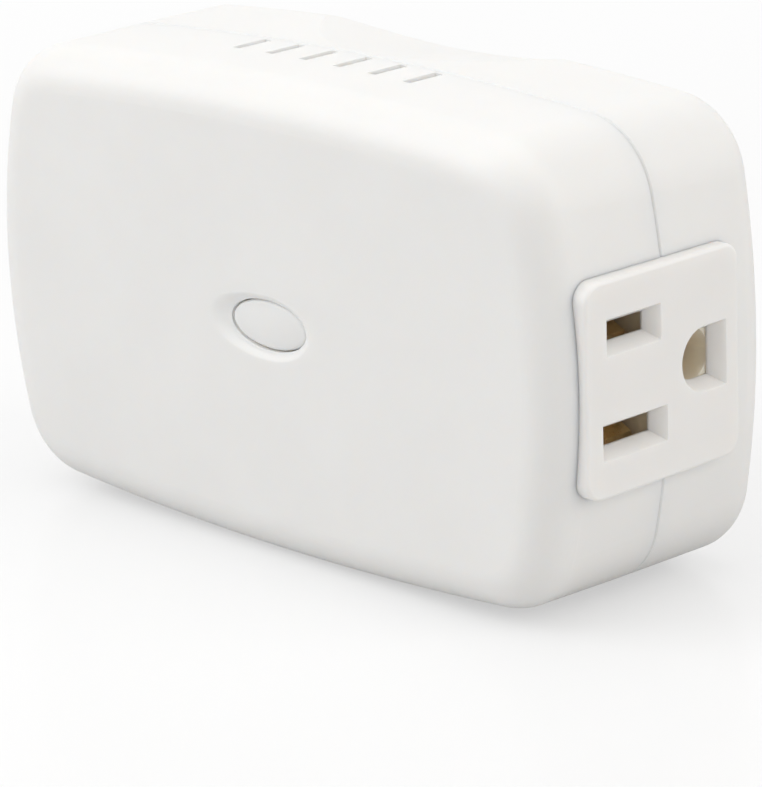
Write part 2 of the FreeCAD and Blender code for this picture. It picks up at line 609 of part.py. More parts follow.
def plate_window(body):
    """The opening in the right-hand side wall for the outlet plate."""
    half = "(plate_side / 2 + plate_gap)"
    window = Profile(body, "window", "YZ", f"{PLATE_FACE_X} + wall")
    window.rectangle(f"-plate_setback - {half}", f"-plate_setback + {half}", f"-{half}", half)
    pocket(window, "plate_proud + 3 * wall + plate_flange_wall")
    place, side, wide = number_of("-plate_setback"), number_of(half), number_of("body_width / 3")

    def corner(spot):
        return spot.x > wide and near(abs(spot.y - place), side) and near(abs(spot.z), side)

    return soften("Fillet", body, corner, "plate_corner + plate_gap")


def vents(body):
    """The row of slots through the top and the bottom, just ahead of the seam."""
    left = "(-vent_pitch * (vent_count - 1) / 2 - vent_width / 2)"
    slot = Profile(body, "vent", "XY")
    back = f"({SEAM} - vent_edge)"
    slot.rectangle(left, f"{left} + vent_width", f"{back} - vent_length", back)
    cut = pocket(slot, both=True)
    row = feature(body, "LinearPattern", "vent_row", Length="vent_pitch * (vent_count - 1)",
                  Occurrences="vent_count")
    row.Originals = [cut]
    row.Direction = (slot.sketch, ["H_Axis"])
    body.Tip = row
    doc.recompute()
    return row


def make_front_shell():
    body = shell_half("front_shell", FRONT, SEAM, "front_side_bow", "front_draft", "front_edge_round", False)
    rebate = Profile(body, "rebate", "XZ", SEAM).housing("wall - lip_wall - lip_gap", "seam_side_bow")
    pocket(rebate, "lip_height + lip_gap", back=True)
    plate_window(body)
    vents(body)

    collar = Profile(body, "collar", "XZ", f"{FRONT} + dish_depth")
    collar.ellipse("button_across", "0", "button_width + 2 * (button_gap + collar_wall)",
                   "button_height + 2 * (button_gap + collar_wall)")
    pad(collar, "wall - dish_depth + collar_height", back=True)

    posts = Profile(body, "posts", "XZ", f"{FRONT} + wall / 2")
    for across, up in POSTS:
        posts.circle(across, up, "post_round")
    pad(posts, "body_depth - wall / 2 - seam_setback - post_gap", back=True)
    pilots = Profile(body, "pilots", "XZ", SEAM)
    for across, up in POSTS:
        pilots.circle(across, up, "screw_round + screw_fit")
    pocket(pilots, "screw_length - (seam_setback - well_depth) + hole_reserve", back=True)

    risers = Profile(body, "risers", "XZ", f"{FRONT} + wall / 2")
    for across, up in CONTROL_POSTS:
        risers.circle(across, up, "control_post_round")
    pad(risers, f"{CONTROL_FRONT} + body_depth - wall / 2", back=True)
    holes = Profile(body, "holes", "XZ", CONTROL_FRONT)
    for across, up in CONTROL_POSTS:
        holes.circle(across, up, "board_screw_round + screw_fit")
    pocket(holes, "board_screw_length - board_thickness + hole_reserve", back=True)

    well = Profile(body, "button_hole", "XZ", COLLAR_END)
    well.ellipse("button_across", "0", "button_width + 2 * button_gap", "button_height + 2 * button_gap")
    pocket(well, "wall + collar_height + 1", back=True)
    return add_dish(body)


def add_dish(body):
    """The shallow dish round the button, part of an ellipsoid that stands ahead of the face."""
    reach = "(3 * dish_depth)"
    spread = "(3 / sqrt(5))"
    dish = feature(body, "SubtractiveEllipsoid", "dish", Radius1=reach,
                   Radius2=f"dish_width / 2 * {spread}", Radius3=f"dish_height / 2 * {spread}")
    dish.Placement = Placement(Vector(0, 0, 0), Rotation(Vector(1, 0, 0), 90))
    bind(dish, Placement__Base__x="button_across", Placement__Base__y=f"{FRONT} + dish_depth - {reach}")
    doc.recompute()
    return body


def finger_grip(body, sign):
    """A shallow hollow for a finger: part of a wide cylinder that sinks in towards the wall face."""
    drop = "(grip_depth - top_bow * (2 * grip_half_width / body_width) ^ 2)"
    reach = f"((grip_half_width ^ 2 + {drop} ^ 2) / (2 * {drop}))"
    run = "(seam_setback - grip_setback)"
    rise = f"((grip_depth - grip_start) / {run})"
    tilt = f"atan({rise})"
    low_end = f"(body_height / 2 - grip_start - 1.5 * {run} * {rise})"
    grip = feature(body, "SubtractiveCylinder", "grip", Radius=reach, Height=f"1.5 * {run} / cos({tilt})")
    grip.Placement = Placement(Vector(0, 0, 0), Rotation(Vector(1, 0, 0), 80 if sign > 0 else 100))
    bind(grip, Placement__Base__y=f"0.5 * {run} + {reach} * sin({tilt})",
         Placement__Base__z=f"({sign}) * ({low_end} + {reach} * cos({tilt}))",
         Placement__Rotation__Angle=f"90 deg - ({sign}) * {tilt}")
    doc.recompute()
    return grip


def block(label, left, right, low, high, front, back):
    """A body that starts as a plain block."""
    body = body_named(label)
    slab(body, "outline", left, right, low, high, front, back)
    return body


def slab(body, name, left, right, low, high, front, back):
    """Adds a plain block to a body."""
    outline = Profile(body, name, "XZ", front).rectangle(left, right, low, high)
    return pad(outline, f"({back}) - ({front})", back=True)


def slot(body, name, left, right, low, high, front, back):
    """Cuts a plain block out of a body."""
    outline = Profile(body, name, "XZ", front).rectangle(left, right, low, high)
    return pocket(outline, f"({back}) - ({front})")


def rods(body, name, spots, radius, front, back):
    """Adds a round post at each spot, from front to back."""
    outline = Profile(body, name, "XZ", front)
    for across, up in spots:
        outline.circle(across, up, radius)
    return pad(outline, f"({back}) - ({front})", back=True)


def bores(body, name, spots, radius, front, back):
    """Cuts a round hole at each spot, from front to back."""
    outline = Profile(body, name, "XZ", front)
    for across, up in spots:
        outline.circle(across, up, radius)
    return pocket(outline, f"({back}) - ({front})")


def around(across, up, steps):
    """Spots that stand off a middle by pairs of formulas."""
    return [(f"({across} + {right})", f"({up} + {high})") for right, high in steps]


def make_rear_shell():
    body = shell_half("rear_shell", "0", SEAM, "rear_side_bow", "rear_draft", "rear_edge_round", True)
    tongue = Profile(body, "tongue", "XZ", f"{SEAM} + wall")
    tongue.housing("wall - lip_wall", "seam_side_bow")
    tongue.housing("wall + fit_gap", "seam_side_bow")
    pad(tongue, "lip_height + wall")
    plate_window(body)
    for sign, side in ((1, "top"), (-1, "bottom")):
        low, high = ("(body_height / 2 - grip_backing)", "(body_height / 2 - wall)")
        if sign < 0:
            low, high = f"(-{high})", f"(-{low})"
        slab(body, f"backing_{side}", "(-grip_half_width)", "grip_half_width", low, high,
             f"{SEAM} + grip_setback", REAR_INNER)
        doc.recompute()
        finger_grip(body, sign)

    rods(body, "posts", POSTS, "well_round + well_wall", SEAM, "(-wall / 2)")
    bores(body, "shank_holes", POSTS, "screw_round + screw_clearance", f"{SEAM} - 1", "(-well_depth)")
    bores(body, "wells", POSTS, "well_round", "(-well_depth)", "1")
    rods(body, "board_posts", BOARD_POSTS, "board_post_round", BOARD_BACK, "(-wall / 2)")
    bores(body, "board_pilots", BOARD_POSTS, "board_screw_round + screw_fit", BOARD_BACK,
          f"({BOARD_BACK} + board_screw_length - board_thickness + hole_reserve)")

    outlets = Profile(body, "plug_slots", "XZ", "(-wall - 1)")
    for middle in ("(blade_pitch / 2)", "(-blade_pitch / 2)"):
        outlets.rectangle(f"{BLADE_X} - blade_width / 2 - plug_gap",
                          f"{BLADE_X} + blade_width / 2 + plug_gap",
                          f"{middle} - blade_thickness / 2 - plug_gap",
                          f"{middle} + blade_thickness / 2 + plug_gap")
    outlets.circle(PIN_X, "0", "pin_land_round + plug_gap")
    pocket(outlets, "wall + 2")
    return body


def make_outlet_plate():
    body = body_named("outlet_plate")
    half, middle, back = "(plate_side / 2)", "(-plate_setback)", f"({PLATE_FACE_X} - plate_reach)"
    outline = Profile(body, "outline", "YZ", back)
    outline.rectangle(f"{middle} - {half}", f"{middle} + {half}", f"(-{half})", half)
    pad(outline, "plate_reach")
    place, side, face = number_of(middle), number_of(half), number_of(PLATE_FACE_X)
    soften("Fillet", body,
           lambda spot: near(abs(spot.y - place), side) and near(abs(spot.z), side), "plate_corner")
    soften("Fillet", body, lambda spot: near(spot.x, face), "plate_edge_round")
    rim = f"({half} + plate_flange)"
    flange = Profile(body, "flange", "YZ", back)
    flange.rectangle("(-plate_flange_front)", f"{middle} + {rim}", f"(-{rim})", rim)
    pad(flange, "plate_flange_wall")
    hollow = Profile(body, "hollow", "YZ", back)
    hollow.rectangle(f"{middle} - {half} + plate_skirt", f"{middle} + {half} - plate_skirt",
                     f"plate_skirt - {half}", f"{half} - plate_skirt")
    pocket(hollow, "plate_reach - plate_wall", back=True)

    pocket(outlet_openings(body, "slots", "0"), "plate_wall + 1")
    pocket(outlet_openings(body, "funnels", "slot_lead_in"), "slot_lead_depth",
           narrows="atan(slot_lead_in / slot_lead_depth)")
    return body


def outlet_openings(body, name, wider):
    """The outlines of the two slots and the ground hole on the outlet's face, each wider by that much."""
    openings = Profile(body, name, "YZ", PLATE_FACE_X)
    for up, length in (("(blade_pitch / 2)", "hot_slot_length"),
                       ("(-blade_pitch / 2)", "neutral_slot_length")):
        openings.rectangle(f"{SLOT_LINE} - {length} / 2 - {wider}", f"{SLOT_LINE} + {length} / 2 + {wider}",
                           f"{up} - slot_width / 2 - {wider}", f"{up} + slot_width / 2 + {wider}")
    return openings.d_hole(f"({GROUND_LINE} + ground_hole_shift)", "0", f"(ground_hole_round + {wider})",
                           f"(ground_hole_flat + {wider})")


def make_socket():
    """The block behind the outlet plate, and the cover behind that."""
    half = "(plate_side / 2 - plate_skirt - fit_gap)"
    front, back = f"(-plate_setback - {half})", f"(-plate_setback + {half})"
    body = body_named("socket_block")
    outline = Profile(body, "outline", "YZ", SOCKET_BACK_X).rectangle(front, back, f"(-{half})", half)
    pad(outline, "socket_reach")
    bays = Profile(body, "bays", "YZ", SOCKET_FACE_X)
    for up in ("(blade_pitch / 2)", "(-blade_pitch / 2)"):
        bays.rectangle(f"{SLOT_LINE} - socket_bay_length / 2", f"{SLOT_LINE} + socket_bay_length / 2",
                       f"{up} - socket_bay_height / 2", f"{up} + socket_bay_height / 2")
    bays.circle(GROUND_LINE, "0", "socket_bay_round")
    pocket(bays, "socket_reach + 1")
    pegs = [(GROUND_LINE, "peg_up"), (GROUND_LINE, "(-peg_up)")]
    holes = Profile(body, "peg_holes", "YZ", SOCKET_BACK_X)
    for across, up in pegs:
        holes.circle(across, up, "peg_round + fit_gap")
    pocket(holes, "peg_length + hole_reserve", back=True)
    wide, tall = number_of("plate_setback"), number_of(half)
    soften("Chamfer", body,
           lambda spot: near(abs(spot.y + wide), tall) and near(abs(spot.z), tall), "socket_corner")

    cover = body_named("socket_cover")
    face = f"({SOCKET_BACK_X} - fit_gap)"
    outline = Profile(cover, "outline", "YZ", f"({face} - socket_cover_wall)").rectangle(
        front, back, f"(-{half})", half)
    pad(outline, "socket_cover_wall")
    studs = Profile(cover, "pegs", "YZ", face)
    for across, up in pegs:
        studs.circle(across, up, "peg_round")
    pad(studs, "peg_length")
    legs = Profile(cover, "leg_slots", "YZ", face)
    for middle, up in LEG_PLACES:
        legs.rectangle(f"{middle} - leg_width / 2 - fit_gap", f"{middle} + leg_width / 2 + fit_gap",
                       f"{up} - contact_wall / 2 - fit_gap", f"{up} + contact_wall / 2 + fit_gap")
    pocket(legs, "socket_cover_wall + 1")
    return body, cover


def add_leg(body, middle, up):
    """The strip from a contact's base through the cover and down to the board."""
    left, right = f"({LEG_X} - leg_width / 2)", f"({LEG_X} + leg_width / 2)"
    near_side, far_side = f"({middle} - leg_width / 2)", f"({middle} + leg_width / 2)"
    base = f"({CONTACT_BACK} + contact_wall / 2)"
    strip = Profile(body, "leg", "XY", f"({up} - contact_wall / 2)")
    strip.polygon([(base, near_side), (base, far_side), (right, far_side), (right, LEAD_END),
                   (left, LEAD_END), (left, near_side)])
    return pad(strip, "contact_wall")


def make_blade_contact(label, up, width):
    """A spring contact: two flared leaves on a base, seen from the side, drawn out to its width."""
    body = body_named(label)
    mouth = f"({CONTACT_BACK} + contact_reach)"
    neck = f"({mouth} - contact_mouth)"
    floor = f"({CONTACT_BACK} + contact_wall)"
    inner, outer = "(contact_gap / 2)", "(contact_gap / 2 + contact_wall)"
    upper = [(floor, inner), (neck, inner), (mouth, f"({inner} + contact_flare)"),
             (mouth, f"({outer} + contact_flare)"), (neck, outer), (CONTACT_BACK, outer)]
    corners = [(across, f"({up} - {high})") for across, high in upper[::-1]]
    corners += [(across, f"({up} + {high})") for across, high in upper]
    leaves = Profile(body, "leaves", "XZ", f"({SLOT_LINE} - {width} / 2)").polygon(corners)
    pad(leaves, width, back=True)
    add_leg(body, BLADE_LEG_Y, up)
    return body


def make_ground_contact():
    body = body_named("ground_contact")
    end = f"({CONTACT_BACK} + ground_contact_reach)"
    barrel = Profile(body, "barrel", "YZ", CONTACT_BACK)
    barrel.circle(GROUND_LINE, "0", "ground_contact_round + contact_wall")
    pad(barrel, "ground_contact_reach")
    bore = Profile(body, "bore", "YZ", end).circle(GROUND_LINE, "0", "ground_contact_round")
    pocket(bore, "ground_contact_reach - contact_wall")
    slit = Profile(body, "slit", "YZ", end)
    reach = "(ground_contact_round + 2 * contact_wall)"
    slit.rectangle(f"{GROUND_LINE} - {reach}", f"{GROUND_LINE} + {reach}",
                   "(-contact_slit / 2)", "(contact_slit / 2)")
    pocket(slit, "ground_contact_reach - 2 * contact_wall")
    add_leg(body, GROUND_LINE, "0")
    return body


def make_plug():
    """The two blades, the ground pin and the block that carries them."""
    carrier = block("blade_carrier", "(-carrier_width / 2)", "(carrier_width / 2)", "(-carrier_height / 2)",
                    "(carrier_height / 2)", CARRIER_FRONT, "(-wall - fit_gap)")
    wide, tall = "(carrier_width / 2 - carrier_foot_round)", "(carrier_height / 2 - carrier_foot_round)"
    feet = [(f"({side}{wide})", f"({end}{tall})") for side in ("", "-") for end in ("", "-")]
    rods(carrier, "feet", feet, "carrier_foot_round", f"({BOARD_BACK} + fit_gap)", CARRIER_FRONT)
    for up, side in (("(blade_pitch / 2)", "line"), ("(-blade_pitch / 2)", "neutral")):
        low = f"({up} - blade_thickness / 2 - carrier_gap)"
        high = f"({up} + blade_thickness / 2 + carrier_gap)"
        slot(carrier, f"{side}_slot", f"{BLADE_X} - blade_width / 2 - shoulder - carrier_gap",
             f"{BLADE_X} + blade_width / 2 + shoulder + carrier_gap", low, high, BLADE_SHOULDER, "(-wall)")
        slot(carrier, f"{side}_tail_slot", f"{BLADE_X} - blade_tail / 2 - carrier_gap",
             f"{BLADE_X} + blade_tail / 2 + carrier_gap", low, high, f"({CARRIER_FRONT} - 1)", "(-wall)")
        make_blade(f"{side}_blade", up)
    bores(carrier, "pin_hole", [(PIN_X, "0")], "pin_land_round + shoulder + carrier_gap",
          BLADE_SHOULDER, "(-wall)")
    bores(carrier, "pin_tail_hole", [(PIN_X, "0")], "pin_tail_round + carrier_gap",
          f"({CARRIER_FRONT} - 1)", "(-wall)")

    pin = body_named("ground_pin")
    rods(pin, "pin", [(PIN_X, "0")], "pin_round", "(-fit_gap)", "pin_length")
    rods(pin, "land", [(PIN_X, "0")], "pin_land_round", SHOULDER_END, "0")
    rods(pin, "shoulder", [(PIN_X, "0")], "(pin_land_round + shoulder)", BLADE_SHOULDER, SHOULDER_END)
    rods(pin, "tail", [(PIN_X, "0")], "pin_tail_round", TAIL_END, BLADE_SHOULDER)
    soften("Fillet", pin, on_y("pin_length"), "pin_round - 0.3")
    return carrier


def make_blade(label, up):
    body = body_named(label)
    half, tail, tip = "blade_width / 2", "blade_tail / 2", "blade_tip_corner"
    outline = Profile(body, "outline", "XY", f"({up} - blade_thickness / 2)")
    sides = [(tail, TAIL_END), (tail, BLADE_SHOULDER), (f"{half} + shoulder", BLADE_SHOULDER),
             (f"{half} + shoulder", SHOULDER_END), (half, SHOULDER_END), (half, "(blade_length - blade_tip)"),
             (f"{half} - {tip}", "blade_length")]
    outline.polygon([(f"({BLADE_X} + {across})", place) for across, place in sides]
                    + [(f"({BLADE_X} - ({across}))", place) for across, place in sides[::-1]])
    pad(outline, "blade_thickness")
    soften("Chamfer", body, on_y("blade_length"), "blade_thickness / 4")
    hole = Profile(body, "hole", "XY").circle(BLADE_X, "blade_hole_place", "blade_hole_round")
    pocket(hole, both=True)
    return body


def make_button():
    cap = body_named("button_cap")
    outline = Profile(cap, "cap", "XZ", BUTTON_FACE).ellipse(
        "button_across", "0", "button_width", "button_height")
    pad(outline, f"{FLANGE_END} - {BUTTON_FACE}", back=True)
    soften("Fillet", cap, on_y(BUTTON_FACE), "button_edge_round")
    rim = Profile(cap, "rim", "XZ", f"({FLANGE_END} - button_flange_wall)")
    rim.ellipse("button_across", "0", "button_width + 2 * button_flange", "button_height + 2 * button_flange")
    pad(rim, "button_flange_wall", back=True)
    rods(cap, "stem", [("button_across", "0")], "button_stem_round",
         f"({FLANGE_END} - button_flange_wall / 2)", STEM_END)

    half = "switch_side / 2"
    front = f"({CONTROL_FRONT} - switch_height)"
    switch = block("tact_switch", f"button_across - {half}", f"button_across + {half}",
                   f"(-{half})", f"({half})", front, CONTROL_FRONT)
    bores(switch, "well", [("button_across", "0")], "plunger_round + plunger_gap", front,
          f"({front} + plunger_depth + button_travel + press_gap)")
    plunger = body_named("tact_plunger")
    rods(plunger, "plunger", [("button_across", "0")], "plunger_round", PLUNGER_TIP,
         f"({front} + plunger_depth)")
    return cap, switch, plunger


def make_main_board():
    board = block("main_board", BOARD_LEFT, BOARD_RIGHT, f"(-{BOARD_HALF})", BOARD_HALF,
                  BOARD_FRONT, BOARD_BACK)
    left, right, high = (number_of(text) for text in (BOARD_LEFT, BOARD_RIGHT, BOARD_HALF))
    soften("Fillet", board, lambda spot: near(spot.x, left) and near(abs(spot.z), high), "board_corner")
    soften("Fillet", board,
           lambda spot: near(spot.x, right) and near(abs(spot.z), high), "board_small_corner")
    through = (f"({BOARD_FRONT} - 1)", f"({BOARD_BACK} + 1)")
    bores(board, "post_holes", POSTS[1:3], "well_round + well_wall + post_hole_gap", *through)
    bores(board, "screw_holes", BOARD_POSTS, "board_screw_round + screw_hole_gap", *through)
    bores(board, "wire_holes", WIRES, "wire_round + lead_clearance", *through)
    bores(board, "sink_holes", SINK_PINS, "sink_pin_round + lead_clearance", *through)
    bores(board, "pin_hole", [(PIN_X, "0")], "pin_tail_round + lead_clearance", *through)
    for across, up, wide, thick, name in (
            (BLADE_X, "(blade_pitch / 2)", "blade_tail", "blade_thickness", "line"),
            (BLADE_X, "(-blade_pitch / 2)", "blade_tail", "blade_thickness", "neutral"),
            (LEG_X, "(blade_pitch / 2)", "leg_width", "contact_wall", "hot_leg"),
            (LEG_X, "(-blade_pitch / 2)", "leg_width", "contact_wall", "neutral_leg"),
            (LEG_X, "0", "leg_width", "contact_wall", "ground_leg")):
        slot(board, name,
             f"{across} - {wide} / 2 - lead_clearance", f"{across} + {wide} / 2 + lead_clearance",
             f"{up} - {thick} / 2 - lead_clearance", f"{up} + {thick} / 2 + lead_clearance", *through)
    return board


def make_control_board():
    board = block("control_board", CONTROL_LEFT, CONTROL_RIGHT,
                  "(-control_height / 2)", "(control_height / 2)", CONTROL_FRONT, CONTROL_BACK)
    through = (f"({CONTROL_FRONT} - 1)", f"({CONTROL_BACK} + 1)")
    bores(board, "screw_holes", CONTROL_POSTS, "board_screw_round + screw_hole_gap", *through)
    bores(board, "pin_holes", HEADER, "wire_round + lead_clearance", *through)

    pins = body_named("header_pins")
    pins.AllowCompound = True
    outline = Profile(pins, "pins", "XZ", f"({CONTROL_FRONT} - lead_stub)")
    for across, up in HEADER:
        outline.rectangle(f"{across} - header_pin / 2", f"{across} + header_pin / 2",
                          f"{up} - header_pin / 2", f"{up} + header_pin / 2")
    pad(outline, f"{LEAD_END} - {CONTROL_FRONT} + lead_stub", back=True)
    last = f"(header_low + header_pitch * (header_count - 1) + header_block / 2)"
    holder = block("header_block", f"{HEADER_X} - header_block / 2", f"{HEADER_X} + header_block / 2",
                   "(header_low - header_block / 2)", last, f"({SEAT} - header_block)", SEAT)
    holes = Profile(holder, "holes", "XZ", f"({SEAT} - header_block - 1)")
    for across, up in HEADER:
        holes.rectangle(f"{across} - header_pin / 2 - screw_fit", f"{across} + header_pin / 2 + screw_fit",
                        f"{up} - header_pin / 2 - screw_fit", f"{up} + header_pin / 2 + screw_fit")
    pocket(holes, "header_block + 2")
    return board


def screws(label, spots, seat, away, shank_round, shank, head_round, head):
    """Screws that share one seat; away is which way along Y their heads stand."""
    body = body_named(label)
    body.AllowCompound = True
    outer, tip = (
        (f"({seat} + {head})", f"({seat} - {shank})") if away > 0
        else (f"({seat} - {head})", f"({seat} + {shank})"))
    first, last = (seat, outer) if away > 0 else (outer, seat)
    rods(body, "heads", spots, head_round, first, last)
    low, high = (tip, f"({seat} + {head} / 2)") if away > 0 else (f"({seat} - {head} / 2)", tip)
    rods(body, "shanks", spots, shank_round, low, high)
    depth = f"({head} * 0.55)"
    start, stop = (
        (f"({outer} - {depth})", f"({outer} + 1)") if away > 0
        else (f"({outer} - 1)", f"({outer} + {depth})"))
    arm, bar = f"({head_round} * 0.62)", f"({head_round} * 0.16)"
    cross = Profile(body, "cross", "XZ", start)
    for across, up in spots:
        steps = ((arm, bar), (bar, bar), (bar, arm))
        quarter = [(right, high) for right, high in steps]
        turns = []
        for turn in range(4):
            for right, high in quarter:
                pair = {0: (right, high), 1: (f"(-{high})", right),
                        2: (f"(-{right})", f"(-{high})"), 3: (high, f"(-{right})")}
                turns.append(pair[turn])
        cross.polygon([(f"({across} + {right})", f"({up} + {high})") for right, high in turns])
    pocket(cross, f"{stop} - {start}")
    return body


def make_power_parts():
    """The triac, its pad, its screw and the comb of fins that cools it."""
    tab_face = f"({SINK_UP} - pad_wall)"
    case_end = f"({BOARD_FRONT} - triac_lift)"
    case_top = f"({case_end} - triac_case)"
    tab_top = f"({case_top} - triac_tab)"
    hole_y = f"({case_top} - triac_tab / 2)"
    left, right = f"({TRIAC_X} - triac_width / 2)", f"({TRIAC_X} + triac_width / 2)"
    triac = block("triac", left, right, f"{tab_face} - triac_thickness", tab_face, case_top, case_end)
    slab(triac, "tab", left, right, f"{tab_face} - triac_tab_wall", tab_face, tab_top, case_top)
    legs = Profile(triac, "legs", "XZ", f"({case_end} - 1)")
    for across, up in TRIAC_LEGS:
        legs.rectangle(f"{across} - leg_half", f"{across} + leg_half",
                       f"{up} - leg_half / 2", f"{up} + leg_half / 2")
    pad(legs, f"{LEAD_END} - {case_end} + 1", back=True)
    hole = Profile(triac, "tab_hole", "XY", tab_face).circle(TRIAC_X, hole_y, "triac_hole_round")
    pocket(hole, "triac_tab_wall + 1")

    pad_body = block("thermal_pad", f"{left} - pad_margin", f"{right} + pad_margin", tab_face, SINK_UP,
                     f"{tab_top} - pad_margin", f"{case_end} + pad_margin")
    hole = Profile(pad_body, "hole", "XY", SINK_UP).circle(TRIAC_X, hole_y, "triac_hole_round")
    pocket(hole, "pad_wall + 1")

    top = f"({SEAT} - sink_reach)"
    sink = block("heat_sink", SINK_LEFT, SINK_RIGHT, SINK_UP, f"({SINK_UP} + sink_wall)", top, SEAT)
    fin = slab(sink, "fin", SINK_LEFT, f"({SINK_LEFT} + sink_fin_wall)", f"({SINK_UP} + sink_wall / 2)",
               f"({SINK_UP} + sink_wall + sink_fin)", top, SEAT)
    span = "(sink_length - sink_fin_wall)"
    row = feature(sink, "LinearPattern", "fins", Length=span, Occurrences="sink_fin_count")
    row.Originals = [fin]
    row.Direction = (fin.Profile[0], ["H_Axis"])
    sink.Tip = row
    doc.recompute()
    rods(sink, "pins", SINK_PINS, "sink_pin_round", f"({SEAT} - 1)", LEAD_END)
    hole = Profile(sink, "screw_hole", "XY", f"({SINK_UP} + sink_wall)")
    hole.circle(TRIAC_X, hole_y, "clamp_screw_round + screw_fit")
    pocket(hole, "sink_wall + 1")

    screw = body_named("triac_screw")
    seat = f"({tab_face} - triac_tab_wall)"
    head = Profile(screw, "head", "XY", f"({seat} - clamp_head_height)").circle(
        TRIAC_X, hole_y, "clamp_head_round")
    pad(head, "clamp_head_height")
    shank = Profile(screw, "shank", "XY", seat).circle(TRIAC_X, hole_y, "clamp_screw_round")
    pad(shank, "triac_tab_wall + pad_wall + sink_wall - fit_gap")
    recess = Profile(screw, "recess", "XY", f"({seat} - clamp_head_height)")
    recess.rectangle(f"{TRIAC_X} - 2 * clamp_head_round", f"{TRIAC_X} + 2 * clamp_head_round",
                     f"{hole_y} - clamp_slot / 2", f"{hole_y} + clamp_slot / 2")
    pocket(recess, "clamp_slot_depth", back=True)
    return triac


def make_choke():
    core = body_named("choke_core")
    clear = "(choke_wire + choke_gap)"
    ring = Profile(core, "ring", "XZ", f"({SEAT} - {clear} - choke_core_height)")
    ring.circle(CHOKE_X, "choke_up", "choke_round")
    ring.circle(CHOKE_X, "choke_up", "choke_bore")
    pad(ring, "choke_core_height", back=True)

    winding = body_named("choke_winding")
    section = Profile(winding, "section", "XY", "choke_up")
    inner, outer = f"({CHOKE_X} + choke_bore)", f"({CHOKE_X} + choke_round)"
    low, high = f"({SEAT} - 2 * {clear} - choke_core_height)", SEAT
    section.rectangle(f"{inner} - {clear}", f"{outer} + {clear}", low, high)
    section.rectangle(f"{inner} - choke_gap", f"{outer} + choke_gap",
                      f"{low} + choke_wire", f"{high} - choke_wire")
    ends = [Vector(number_of(CHOKE_X), number_of(level), 0) for level in (low, high)]
    axis = section.sketch.addGeometry(Part.LineSegment(*ends), True)
    section.locate(axis, 1, CHOKE_X, low)
    section.locate(axis, 2, CHOKE_X, high)
    turn = feature(winding, "Revolution", "turns", Angle="choke_turn")
    turn.Profile = section.sketch
    turn.ReferenceAxis = (section.sketch, ["Axis0"])
    turn.Midplane = True
    doc.recompute()
    rods(winding, "leads", CHOKE_LEADS, "wire_round", f"({SEAT} - choke_wire / 2)", LEAD_END)
    return core


def make_can(label, across, up, radius, height, leads):
    body = body_named(label)
    middle = [(across, up)]
    groove = f"({SEAT} - can_foot)"
    rods(body, "foot", middle, radius, groove, SEAT)
    rods(body, "neck", middle, f"{radius} - can_groove", f"({groove} - can_groove_width)", groove)
    rods(body, "sleeve", middle, radius, f"({SEAT} - {height})", f"({groove} - can_groove_width)")
    soften("Fillet", body, on_y(f"({SEAT} - {height})"), "can_groove")
    rods(body, "leads", leads, "wire_round", f"({SEAT} - can_foot / 2)", LEAD_END)
    return body


def make_moulded(label, across, up, length, width, height, leads):
    """A small moulded part with a row of leads along each long side."""
    body = block(label, f"{across} - {length} / 2", f"{across} + {length} / 2", f"{up} - {width} / 2",
                 f"{up} + {width} / 2", f"({SEAT} - {height})", SEAT)
    level = f"({SEAT} - {height} / 2)"
    arms = Profile(body, "arms", "XZ", level)
    for spot_across, _spot_up in leads[::2]:
        arms.rectangle(f"{spot_across} - wire_round", f"{spot_across} + wire_round",
                       f"{up} - lead_row - wire_round", f"{up} + lead_row + wire_round")
    pad(arms, "lead_thickness", back=True)
    rods(body, "leads", leads, "wire_round", f"({level} + lead_thickness / 2)", LEAD_END)
    return body


def bent_wire(body, ends, up, level):
    """A round wire that runs across at one level and turns down through the board at both ends."""
    (left, right), bend = ends, "wire_bend"
    path = Profile(body, "path", "XY", up)
    turn = f"({level} + {bend})"
    lines = [((left, LEAD_END), (left, turn)),
             ((f"({left} + {bend})", level), (f"({right} - {bend})", level)),
             ((right, turn), (right, LEAD_END))]
    for start, end in lines:
        spots = [Vector(number_of(across), number_of(along), 0) for across, along in (start, end)]
        index = path.sketch.addGeometry(Part.LineSegment(*spots), False)
        path.locate(index, 1, *start)
        path.locate(index, 2, *end)
    reach = number_of(bend)
    for step, (across, first) in enumerate(((f"({left} + {bend})", 180), (f"({right} - {bend})", 270))):
        middle = Vector(number_of(across), number_of(turn), 0)
        spots = [middle + Rotation(Vector(0, 0, 1), first + more).multVec(Vector(reach, 0, 0))
                 for more in (0, 45, 90)]
        index = path.sketch.addGeometry(Part.Arc(*spots), False)
        path.rule("Coincident", index, 1, step, 2)
        path.rule("Coincident", index, 2, step + 1, 1)
        path.rule("Radius", index, size=bend)
    section = Profile(body, "section", "XZ", LEAD_END).circle(left, up, "wire_round")
    doc.recompute()
    wire = feature(body, "AdditivePipe", "wire")
    wire.Profile = section.sketch
    wire.Spine = (path.sketch, [])
    doc.recompute()
    return wire


